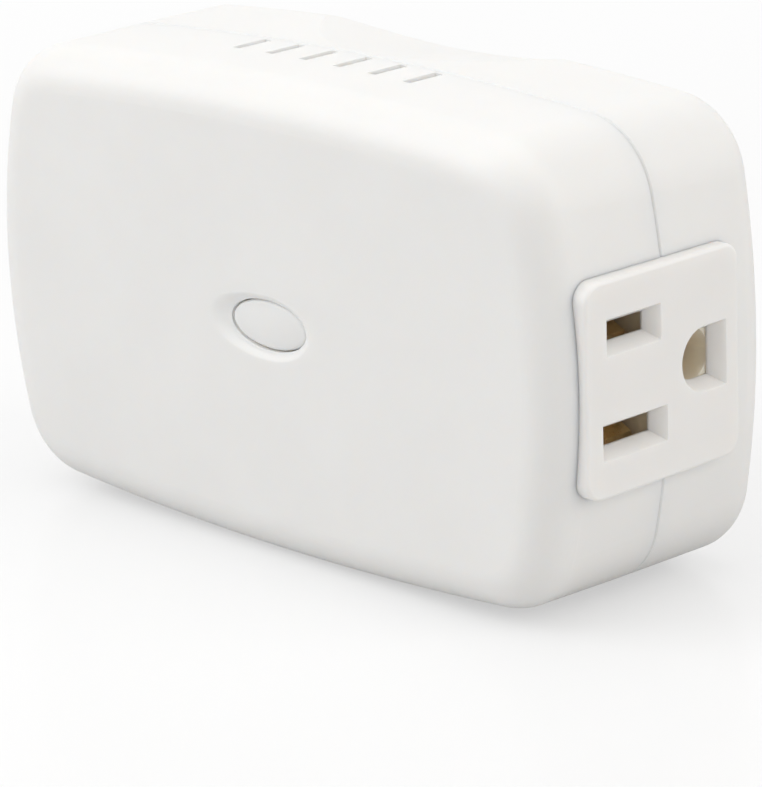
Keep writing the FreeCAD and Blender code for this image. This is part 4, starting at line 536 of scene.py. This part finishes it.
def close_edit(item):
    bpy.ops.object.mode_set(mode="OBJECT")
    return item


def pick(item, chosen):
    """Opens the item's mesh with the vertices selected whose places are chosen."""
    edit(item, "DESELECT")
    close_edit(item)
    for vertex in item.data.vertices:
        vertex.select = chosen(vertex.co)
    bpy.ops.object.mode_set(mode="EDIT")


def ring(place, radius, sides, facing):
    """An open circle to draw a piece out of, left open for editing."""
    only()
    bpy.ops.mesh.primitive_circle_add(vertices=sides, radius=radius, location=place,
                                      rotation=facing)
    item = settle(bpy.context.object)
    edit(item)
    return item


def cap_end():
    """Closes the ring that is selected."""
    bpy.ops.mesh.edge_face_add()


def draw_out(*step):
    """Extrudes what is selected by a step."""
    bpy.ops.mesh.extrude_region_move(TRANSFORM_OT_translate={"value": step})


def resize(centre, across=1.0, along=1.0, up=1.0):
    """Scales what is selected away from a centre."""
    bpy.ops.transform.resize(value=(across, along, up), center_override=centre)


def bend(centre, steps=3):
    """Draws what is selected through a quarter turn, anticlockwise as seen from above.

    The spin operator turns clockwise for a positive angle, so the angle is negative.
    """
    bpy.ops.mesh.spin(steps=steps, angle=-QUARTER, center=centre, axis=(0, 0, 1))


def tidy_mesh(item, reach=0.002 * MM, sharp=math.radians(40)):
    """Merges what coincides, turns the faces outwards and smooths the round ones."""
    edit(item)
    bpy.ops.mesh.remove_doubles(threshold=reach)
    bpy.ops.mesh.normals_make_consistent(inside=False)
    close_edit(item)
    bpy.ops.object.shade_smooth_by_angle(angle=sharp)
    return item


def copy_of(item):
    """Another item with a mesh of its own, selected."""
    only(item)
    bpy.ops.object.duplicate()
    return bpy.context.object


def joined(items):
    only(*items)
    bpy.ops.object.join()
    return bpy.context.object


def lead_ends(nodes, behind, reach=0.3 * MM, depth=0.01 * MM):
    """The boxes, across and up, of the separate leads that end behind or ahead of the board."""
    spots = []
    for node in nodes:
        low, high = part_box(node)
        level = high.y if behind else low.y
        for vertex in NODES[node].data.vertices:
            if abs(vertex.co.y - level) > depth:
                continue
            across, up = vertex.co.x, vertex.co.z
            for box in spots:
                left, right, bottom, top = box
                if left - reach < across < right + reach and bottom - reach < up < top + reach:
                    box[:] = min(left, across), max(right, across), min(bottom, up), max(top, up)
                    break
            else:
                spots.append([across, across, up, up])
    return spots


# ---------------------------------------------------------------- operators


class DIMMER_OT_shells(Operator):
    """Both halves of the housing, in satin white, and the soft-edged dish round the button"""

    bl_idname = "dimmer.shells"
    bl_label = "Housing shells"

    def execute(self, context):
        look = context.scene.dimmer_moulding
        white = moulded("housing_white", look.white, look.roughness, look.grain,
                        look.grain_depth, translucence=look.translucence, scatter=look.scatter)
        dress(white, "rear_shell")
        front = self.front(context.scene.dimmer_dish, context.scene.dimmer_button.across)
        fit(front, "front_housing", white, "housing_white", "front_shell")
        return {"FINISHED"}

    def front(self, dish, middle_x):
        """The front shell with its dish drawn anew: soft at its rim, and longest to the left."""
        source = NODES["front_shell"].data
        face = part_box("front_shell")[0].y
        shallowest, deepest = 0.0005 * MM, 0.8 * MM
        normals = [corner.vector.copy() for corner in source.corner_normals]
        spots, faces, facing, places = [], [], [], {}
        for polygon in source.polygons:
            middle = polygon.center
            aside, above = (middle.x - middle_x) / dish.half_width, middle.z / dish.half_height
            in_dish = aside ** 2 + above ** 2 < 1 and shallowest < middle.y - face < deepest
            if in_dish and polygon.normal.y < -0.5:
                continue
            corners = []
            for loop, vertex in zip(polygon.loop_indices, polygon.vertices):
                if vertex not in places:
                    places[vertex] = len(spots)
                    spots.append(source.vertices[vertex].co.copy())
                corners.append(places[vertex])
                facing.append(normals[loop])
            faces.append(corners)
        rings = self.dish_rings(dish, Vector((middle_x, face + dish.sink, 0)))
        for before, after in zip(rings, rings[1:]):
            for index in range(len(before)):
                quad = (before[index - 1], before[index], after[index], after[index - 1])
                faces.append([len(spots) + corner for corner in range(4)])
                spots.extend(spot for spot, normal in quad)
                facing.extend(normal for spot, normal in quad)
        mesh = bpy.data.meshes.new("front_housing")
        mesh.from_pydata(spots, [], faces)
        mesh.polygons.foreach_set("use_smooth", [True] * len(faces))
        mesh.normals_split_custom_set(facing)
        return placed("front_housing", mesh)

    def dish_rings(self, dish, origin, spokes=120, steps=18):
        """Rings of places and normals, from the dish's rim inwards and over the hole's edge."""
        curves = []
        for spoke in range(spokes):
            bearing = 2 * math.pi * spoke / spokes
            across, up = math.cos(bearing), math.sin(bearing)
            parts = (max(across, 0) ** 2, max(up, 0) ** 2, min(across, 0) ** 2, min(up, 0) ** 2)
            level = sum(part * value for part, value in zip(parts, dish.level))
            drop = sum(part * value for part, value in zip(parts, dish.drop))
            rim = Vector((dish.half_width * across, 0, dish.half_height * up))
            hole = Vector((dish.hole_half_width * across, 0, dish.hole_half_height * up))
            lip = dish.lip * (hole - rim).normalized()
            curve = []
            for step in range(steps + 1):
                way = step / steps
                fall = max(0.0, (way - level) / (1 - level))
                soft_fall = fall * fall * (3 - 2 * fall)
                curve.append(rim.lerp(hole - lip, way) + Vector((0, drop * soft_fall, 0)))
            for turn in (30, 60, 90):
                over = math.radians(turn)
                down = drop + dish.lip * (1 - math.cos(over))
                curve.append(hole - lip * (1 - math.sin(over)) + Vector((0, down, 0)))
            curve.append(hole + Vector((0, dish.hole_start, 0)))
            curves.append([spot + origin for spot in curve])
        return self.with_normals(curves)

    def with_normals(self, curves):
        """Turns the curves from rim to hole into rings, and adds each place's normal."""
        rings = []
        count, last = len(curves), len(curves[0]) - 1
        for step in range(last + 1):
            spots = []
            for index, curve in enumerate(curves):
                along = curve[min(step + 1, last)] - curve[max(step - 1, 0)]
                around = curves[(index + 1) % count][step] - curves[index - 1][step]
                spots.append((curve[step], around.cross(along).normalized()))
            rings.append(spots)
        return rings


class DIMMER_OT_button(Operator):
    """The button and the switch behind it"""

    bl_idname = "dimmer.button"
    bl_label = "Button and switch"

    def execute(self, context):
        look = context.scene.dimmer_moulding
        white = moulded("button_white", look.button_white, look.button_roughness, look.grain,
                        look.fine_depth, translucence=look.translucence, scatter=look.scatter)
        cap = self.cap(context.scene.dimmer_button)
        fit(cap, "push_button", white, "button_white", "button_cap", body=BUTTON)
        black = moulded("switch_black", tone=(0.018, 0.018, 0.02), roughness=0.45,
                        grain=0.3 * MM, depth=0.006 * MM, spread=0.15)
        dress(black, "tact_switch", "tact_plunger")
        return {"FINISHED"}

    def cap(self, button):
        """The crowned cap, its hidden rim and its stem, drawn out of one ring from the back."""
        low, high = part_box("button_cap")
        wide, tall = button.half_width, button.half_height
        rim_wide, rim_tall = (high.x - low.x) / 2, (high.z - low.z) / 2
        rim_back = high.y - button.stem_length
        rim_front = rim_back - button.rim_wall
        sections = [(high.y, button.stem, button.stem), (rim_back, button.stem, button.stem),
                    (rim_back, rim_wide, rim_tall), (rim_front, rim_wide, rim_tall),
                    (rim_front, wide, tall)]
        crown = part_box("front_shell")[0].y + button.recess
        shoulder = crown + button.crown
        for turn in (0, 20, 40, 60, 80):
            over = math.radians(turn)
            inset = button.edge * (1 - math.cos(over))
            level = shoulder + button.edge * (1 - math.sin(over))
            sections.append((level, wide - inset, tall - inset))
        for part in (0.96, 0.88, 0.78, 0.66, 0.52, 0.36, 0.18):
            sections.append((crown + button.crown * part ** 2,
                             (wide - button.edge) * part, (tall - button.edge) * part))
        item = ring((button.across, high.y, 0), button.stem, sides=72, facing=FACING_FRONT)
        cap_end()
        for before, after in zip(sections, sections[1:]):
            draw_out(0, after[0] - before[0], 0)
            resize((button.across, 0, 0), across=after[1] / before[1], up=after[2] / before[2])
        return tidy_mesh(close_edit(item), sharp=math.radians(35))


class DIMMER_OT_outlet(Operator):
    """The outlet's plate, its inner block and cover, and its three contacts"""

    bl_idname = "dimmer.outlet"
    bl_label = "Outlet"

    def execute(self, context):
        look = context.scene.dimmer_moulding
        metal = context.scene.dimmer_metal
        white = moulded("plate_white", look.plate_white, look.plate_roughness, look.grain,
                        look.fine_depth, translucence=look.translucence, scatter=look.scatter)
        plate = self.plate(context.scene.dimmer_outlet)
        fit(plate, "outlet_face", white, "plate_white", "outlet_plate")
        inner = moulded("inner_plastic", look.inner_white, look.inner_roughness, look.grain,
                        look.grain_depth, translucence=look.translucence, scatter=look.scatter)
        dress(inner, "socket_block", "socket_cover")
        brass = brushed("contact_brass", metal.brass, roughness=0.30, line=metal.brushing,
                        stretch=(30.0, 1.0, 1.0), spread=0.14)
        dress(brass, "hot_contact", "neutral_contact", "ground_contact")
        return {"FINISHED"}

    def plate(self, outlet):
        """The plate with its outline drawn outwards, which leaves only a hairline round it."""
        low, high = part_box("outlet_plate")
        middle = Vector((high.x, low.y + outlet.half_side, 0))
        straight = outlet.half_side - outlet.corner

        def in_rim(place):
            beyond = [max(abs(place[axis] - middle[axis]) - straight, 0) for axis in (1, 2)]
            return abs(outlet.corner - math.hypot(*beyond)) < outlet.rim

        item = placed("outlet_face", NODES["outlet_plate"].data.copy())
        pick(item, in_rim)
        growth = 1 + outlet.outwards / outlet.half_side
        resize(middle, along=growth, up=growth)
        return close_edit(item)


class DIMMER_OT_plug(Operator):
    """The two blades, the ground pin and the block that carries them"""

    bl_idname = "dimmer.plug"
    bl_label = "Plug"

    def execute(self, context):
        look = context.scene.dimmer_moulding
        metal = context.scene.dimmer_metal
        nickel = brushed("blade_metal", metal.blade, roughness=0.24, line=metal.brushing,
                         stretch=(1.0, 40.0, 1.0))
        dress(nickel, "line_blade", "neutral_blade", "ground_pin")
        inner = moulded("carrier_plastic", look.inner_white, look.inner_roughness, look.grain,
                        look.grain_depth)
        dress(inner, "blade_carrier")
        return {"FINISHED"}


class DIMMER_OT_boards(Operator):
    """Both circuit boards, the header between them and the solder joints"""

    bl_idname = "dimmer.boards"
    bl_label = "Boards"

    def execute(self, context):
        settings = context.scene.dimmer_board
        dress(board_finish("board_green", settings), "main_board", "control_board")
        gold = brushed("header_plating", tone=(0.80, 0.62, 0.30), roughness=0.25,
                       line=0.05 * MM, stretch=(1.0, 20.0, 1.0))
        dress(gold, "header_pins")
        black = moulded("header_black", tone=(0.02, 0.02, 0.022), roughness=0.5,
                        grain=0.3 * MM, depth=0.005 * MM, spread=0.12)
        dress(black, "header_block")
        tin = brushed("solder_tin", tone=(0.66, 0.66, 0.65), roughness=0.3, line=0.4 * MM,
                      depth=0.004 * MM)
        fit(self.solder(settings), "solder_joints", tin, "bright_metal")
        return {"FINISHED"}

    def solder(self, settings):
        """A concave joint round every lead that comes through the main board."""
        low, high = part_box("main_board")
        behind = ("triac", "choke_winding", "film_capacitor", "varistor", "fuse_clips",
                  "supply_capacitor", "small_capacitor", "dropper_resistors", "optocoupler",
                  "bridge_rectifier", "header_pins", "heat_sink", "hot_contact",
                  "neutral_contact", "ground_contact")
        ahead = ("line_blade", "neutral_blade", "ground_pin")
        joints = []
        for nodes, level, way in ((behind, high.y, 1), (ahead, low.y, -1)):
            for left, right, bottom, top in lead_ends(nodes, way > 0):
                joint = self.joint(settings.solder_height * way)
                joint.location = ((left + right) / 2, level, (bottom + top) / 2)
                joint.scale = ((right - left) / 2 + settings.solder_reach, 1.0,
                               (top - bottom) / 2 + settings.solder_reach)
                joints.append(settle(joint))
        return tidy_mesh(joined(joints))

    def joint(self, height):
        """A joint of unit radius: a foot on the board that hollows in towards the lead's end."""
        middle = (0, 0, 0)
        item = ring(middle, radius=1.0, sides=12, facing=FACING_FRONT)
        cap_end()
        for rise, narrowing in ((0.16, 0.76), (0.30, 0.80), (0.34, 0.86)):
            draw_out(0, height * rise, 0)
            resize(middle, across=narrowing, up=narrowing)
        return close_edit(item)


class DIMMER_OT_fasteners(Operator):
    """All the screws"""

    bl_idname = "dimmer.fasteners"
    bl_label = "Screws"

    def execute(self, context):
        steel = brushed("screw_steel", context.scene.dimmer_metal.steel, roughness=0.30,
                        line=0.12 * MM, spread=0.12)
        dress(steel, "housing_screws", "board_screws", "control_board_screws", "triac_screw")
        return {"FINISHED"}


class DIMMER_OT_power(Operator):
    """The triac, its insulating pad and its heat sink"""

    bl_idname = "dimmer.power"
    bl_label = "Triac and heat sink"

    def execute(self, context):
        black = moulded("triac_black", tone=(0.016, 0.016, 0.018), roughness=0.5,
                        grain=0.25 * MM, depth=0.006 * MM, spread=0.15)
        dress(black, "triac")
        pad = moulded("pad_grey", tone=(0.22, 0.24, 0.25), roughness=0.75, grain=0.5 * MM,
                      depth=0.01 * MM, spread=0.08)
        dress(pad, "thermal_pad")
        bare = brushed("sink_aluminium", context.scene.dimmer_metal.aluminium, roughness=0.34,
                       line=0.08 * MM, stretch=(60.0, 1.0, 1.0), spread=0.06)
        dress(bare, "heat_sink")
        return {"FINISHED"}


class DIMMER_OT_choke(Operator):
    """The choke: a ring core under separate turns of enamelled wire"""

    bl_idname = "dimmer.choke"
    bl_label = "Choke"

    def execute(self, context):
        dress(pressed_powder("core_grey"), "choke_core")
        copper = lacquered("winding_copper", context.scene.dimmer_metal.copper, roughness=0.22,
                           spread=0.12, dimple=0.4 * MM, depth=0.004 * MM, coat=0.6)
        turns = self.winding(context.scene.dimmer_winding)
        fit(turns, "copper_turns", copper, "winding_copper", "choke_winding")
        return {"FINISHED"}

    def winding(self, winding):
        """All the turns, spread evenly round the core, and both leads."""
        low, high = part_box("choke_core")
        middle, outer = (low + high) / 2, (high.x - low.x) / 2
        away = winding.wire + winding.clearance
        first = self.turn(winding, (low.y - away, high.y + away),
                          (winding.bore - away, outer + away))
        pieces = []
        for index in range(winding.turns):
            item = copy_of(first)
            bearing = winding.step * (index - (winding.turns - 1) / 2)
            bpy.ops.transform.rotate(value=bearing, orient_axis="Y", center_override=(0, 0, 0))
            pieces.append(settle(item))
        bpy.data.objects.remove(first)
        lead_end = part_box("choke_winding")[1].y
        for side in (-1, 1):
            pieces.append(self.lead(winding, side * (outer + away), high.y + away, lead_end))
        item = joined(pieces)
        item.location = (middle.x, 0, middle.z)
        return tidy_mesh(settle(item))

    def turn(self, winding, levels, reaches):
        """One turn round the core's section, at the middle of the core."""
        (front, back), (inner, outer) = levels, reaches
        curl = winding.bend
        across, along = outer - inner - 2 * curl, back - front - 2 * curl
        item = ring((outer, front + curl, 0), winding.wire, sides=10, facing=FACING_FRONT)
        draw_out(0, along, 0)
        bend((outer - curl, back - curl, 0))
        draw_out(-across, 0, 0)
        bend((inner + curl, back - curl, 0))
        draw_out(0, -along, 0)
        bend((inner + curl, front + curl, 0))
        draw_out(across, 0, 0)
        bend((outer - curl, front + curl, 0))
        return tidy_mesh(close_edit(item), reach=0.02 * MM)

    def lead(self, winding, up, start, end):
        """The wire's end, from the winding down through the main board, with a drawn-in tip."""
        thin, tip, narrowing = 0.9 * winding.wire, 0.3 * winding.wire, 0.6
        item = ring((0, start, up), thin, sides=10, facing=FACING_FRONT)
        cap_end()
        draw_out(0, end - start - tip, 0)
        draw_out(0, tip, 0)
        resize((0, end, up), across=narrowing, up=narrowing)
        return close_edit(item)


class DIMMER_OT_small_parts(Operator):
    """Capacitors, resistors, varistor, optocoupler and rectifier"""

    bl_idname = "dimmer.small_parts"
    bl_label = "Small parts"

    def execute(self, context):
        for node, name in (("supply_capacitor", "large_can"), ("small_capacitor", "small_can")):
            sleeve = sleeved_can(name + "_sleeve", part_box(node), tone=(0.02, 0.025, 0.05),
                                 stripe=(0.50, 0.52, 0.55))
            dress(sleeve, node)
        yellow = lacquered("film_yellow", tone=(0.80, 0.52, 0.06), roughness=0.32, spread=0.04)
        dress(yellow, "film_capacitor")
        blue = lacquered("varistor_blue", tone=(0.02, 0.12, 0.42), roughness=0.22, spread=0.08,
                         coat=0.4)
        dress(blue, "varistor")
        beige = banded_resistor("resistor_beige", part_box("dropper_resistors"))
        dress(beige, "dropper_resistors")
        black = moulded("package_black", tone=(0.02, 0.02, 0.022), roughness=0.48,
                        grain=0.25 * MM, depth=0.006 * MM, spread=0.15)
        dress(black, "optocoupler", "bridge_rectifier")
        return {"FINISHED"}


class DIMMER_OT_fuse(Operator):
    """The fuse: a glass tube round a thin wire, two caps and their clips"""

    bl_idname = "dimmer.fuse"
    bl_label = "Fuse"

    def execute(self, context):
        fuse = context.scene.dimmer_fuse
        bright = brushed("bright_metal", tone=(0.78, 0.77, 0.74), roughness=0.2,
                         line=0.08 * MM, spread=0.08)
        dress(bright, "fuse_caps", "fuse_clips")
        low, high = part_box("fuse_tube")
        start = Vector((low.x, (low.y + high.y) / 2, (low.z + high.z) / 2))
        run, radius = high.x - low.x, (high.z - low.z) / 2
        tube = self.tube(fuse, start, run, radius)
        fit(tube, "glass_tube", clear_glass("fuse_glass"), "fuse_glass", "fuse_tube")
        fit(self.wire(fuse, start, run), "fuse_wire", bright, "bright_metal")
        return {"FINISHED"}

    def tube(self, fuse, start, run, radius):
        """A glass tube with a bore and slightly drawn-in ends."""
        end, bore = fuse.end_share, fuse.bore_share
        item = ring(start, radius * end, sides=24, facing=FACING_SIDE)
        for step, factor in ((fuse.lip, 1 / end), (run - 2 * fuse.lip, 1.0), (fuse.lip, end),
                             (0, bore / end), (-run, 1.0), (0, end / bore)):
            draw_out(step, 0, 0)
            resize(start, along=factor, up=factor)
        return tidy_mesh(close_edit(item))

    def wire(self, fuse, start, run, steps=8):
        """The thin wire down the middle, which sags a little between its ends."""
        item = ring(start, fuse.wire, sides=8, facing=FACING_SIDE)
        cap_end()
        for index in range(steps):
            before, after = ((2 * place / steps - 1) ** 2 for place in (index, index + 1))
            draw_out(run / steps, 0, fuse.sag * (after - before))
        return tidy_mesh(close_edit(item))


class DIMMER_OT_control_parts(Operator):
    """The controller chip, the crystal and the radio's shield"""

    bl_idname = "dimmer.control_parts"
    bl_label = "Control parts"

    def execute(self, context):
        black = moulded("chip_black", tone=(0.015, 0.015, 0.017), roughness=0.46,
                        grain=0.2 * MM, depth=0.005 * MM, spread=0.15)
        dress(black, "controller_chip")
        nickel = brushed("can_nickel", tone=(0.74, 0.73, 0.70), roughness=0.26, line=0.1 * MM,
                         stretch=(10.0, 1.0, 1.0), spread=0.08)
        dress(nickel, "crystal", "radio_shield")
        return {"FINISHED"}


class DIMMER_OT_stage(Operator):
    """Floor, soft lamps, surround and camera"""

    bl_idname = "dimmer.stage"
    bl_label = "Studio"

    def execute(self, context):
        scene = context.scene
        studio = scene.dimmer_studio
        self.floor(studio)
        self.lamp("overhead_softbox", place=(-0.05, -0.10, 0.95), side=1.1,
                  strength=studio.overhead, tone=(1.0, 0.998, 0.99))
        self.lamp("front_softbox", place=(-0.70, -0.85, 0.75), side=0.9,
                  strength=studio.front, tone=(0.995, 0.998, 1.0))
        self.lamp("side_softbox", place=(0.95, 0.40, 0.55), side=0.8,
                  strength=studio.side, tone=(1.0, 0.97, 0.93))
        self.lamp("camera_softbox", place=(0.70, -0.70, 0.35), side=0.5,
                  strength=studio.fill, tone=WHITE)
        self.surround(scene, studio.surround)
        self.camera(scene, studio)
        scene.view_settings.view_transform = "Standard"
        return {"FINISHED"}

    def floor(self, studio):
        """A faintly glossy floor that turns to plain white away from the module."""
        only()
        bpy.ops.mesh.primitive_plane_add(size=studio.floor_side, location=(0, 0, CAD_BOX[0].z))
        floor = settle(bpy.context.object)
        floor.name = "studio_floor"
        finish = Finish("studio_floor")
        across, along, up = finish.axes()
        away = (across * across + along * along).root()
        far = ((away - studio.floor_near) / studio.floor_fade).most(0.0).least(1.0)
        seen = finish.node("LightPath", output="Is Camera Ray")
        lacquer = finish.node("BsdfPrincipled", sockets={
            "Base Color": finish.mix(seen, tuple(studio.floor), tuple(studio.floor_seen)),
            "Roughness": studio.floor_gloss, "Specular IOR Level": 0.5})
        glow = finish.node("Emission", sockets={"Color": WHITE, "Strength": 1.0})
        white = (far * (1 - studio.floor_white) + studio.floor_white) * seen
        paint(floor, finish.end(finish.node("MixShader", sockets={0: white, 1: lacquer, 2: glow})))

    def lamp(self, name, place, side, strength, tone):
        """A square soft lamp that points at the module."""
        bpy.ops.object.light_add(type="AREA", location=place)
        lamp = bpy.context.object
        lamp.name = name
        lamp.data.shape = "SQUARE"
        lamp.data.size = side
        lamp.data.energy = strength
        lamp.data.color = tone
        target = Vector((0, -0.01, 0))
        aim = target - Vector(place)
        lamp.rotation_euler = aim.to_track_quat("-Z", "Y").to_euler()

    def surround(self, scene, level):
        """White to the eye and in reflections, and greyer as light on the module."""
        sky = Finish("studio_surround", surround=True)
        camera, glossy, clear = (sky.node("LightPath", output=f"Is {name} Ray")
                                 for name in ("Camera", "Glossy", "Transmission"))
        light = sky.node("Background", sockets={"Color": WHITE, "Strength": level})
        white = sky.node("Background", sockets={"Color": WHITE, "Strength": 1.0})
        shown = camera.most(glossy).most(clear)
        scene.world = sky.end(sky.node("MixShader", sockets={0: shown, 1: light, 2: white}))

    def camera(self, scene, studio):
        """The photograph's camera: its place, its line of sight and its roll."""
        turn, rise, roll = studio.azimuth, studio.elevation, studio.roll
        right = Vector((math.cos(turn), math.sin(turn), 0))
        ahead = Vector((math.sin(turn), -math.cos(turn), 0))
        back = ahead * math.cos(rise) + Vector((0, 0, math.sin(rise)))
        up = back.cross(right)
        axes = Matrix((right * math.cos(roll) + up * math.sin(roll),
                       up * math.cos(roll) - right * math.sin(roll), back)).transposed()
        bpy.ops.object.camera_add(location=studio.camera)
        camera = bpy.context.object
        camera.name = "photo_camera"
        camera.matrix_world = Matrix.Translation(studio.camera) @ axes.to_4x4()
        camera.data.sensor_fit = "AUTO"
        camera.data.sensor_width = 36.0
        camera.data.lens = studio.lens
        camera.data.clip_start, camera.data.clip_end = 0.01, 20.0
        scene.camera = camera


PIECE_OPERATORS = (
    DIMMER_OT_shells, DIMMER_OT_button, DIMMER_OT_outlet, DIMMER_OT_plug, DIMMER_OT_boards,
    DIMMER_OT_fasteners, DIMMER_OT_power, DIMMER_OT_choke, DIMMER_OT_small_parts,
    DIMMER_OT_fuse, DIMMER_OT_control_parts, DIMMER_OT_stage,
)


class DIMMER_PT_sidebar(Panel):
    """Lists the module's pieces and their settings"""

    bl_idname = "DIMMER_PT_sidebar"
    bl_label = "Lamp dimmer module"
    bl_space_type = "VIEW_3D"
    bl_region_type = "UI"
    bl_category = "Dimmer"

    def draw(self, context):
        for kind in PIECE_OPERATORS:
            self.layout.operator(kind.bl_idname)
        for name, kind in SETTINGS.items():
            box = self.layout.box()
            for field in kind.__annotations__:
                box.prop(getattr(context.scene, name), field)


CLASSES = (*SETTINGS.values(), *PIECE_OPERATORS, DIMMER_PT_sidebar)


def register():
    for kind in CLASSES:
        bpy.utils.register_class(kind)
    for name, kind in SETTINGS.items():
        setattr(bpy.types.Scene, name, PointerProperty(type=kind))


def unregister():
    for name in SETTINGS:
        delattr(bpy.types.Scene, name)
    for kind in reversed(CLASSES):
        bpy.utils.unregister_class(kind)


def main():
    register()
    for kind in PIECE_OPERATORS:
        family, action = kind.bl_idname.split(".")
        getattr(getattr(bpy.ops, family), action)()


if __name__ == "__main__":
    main()
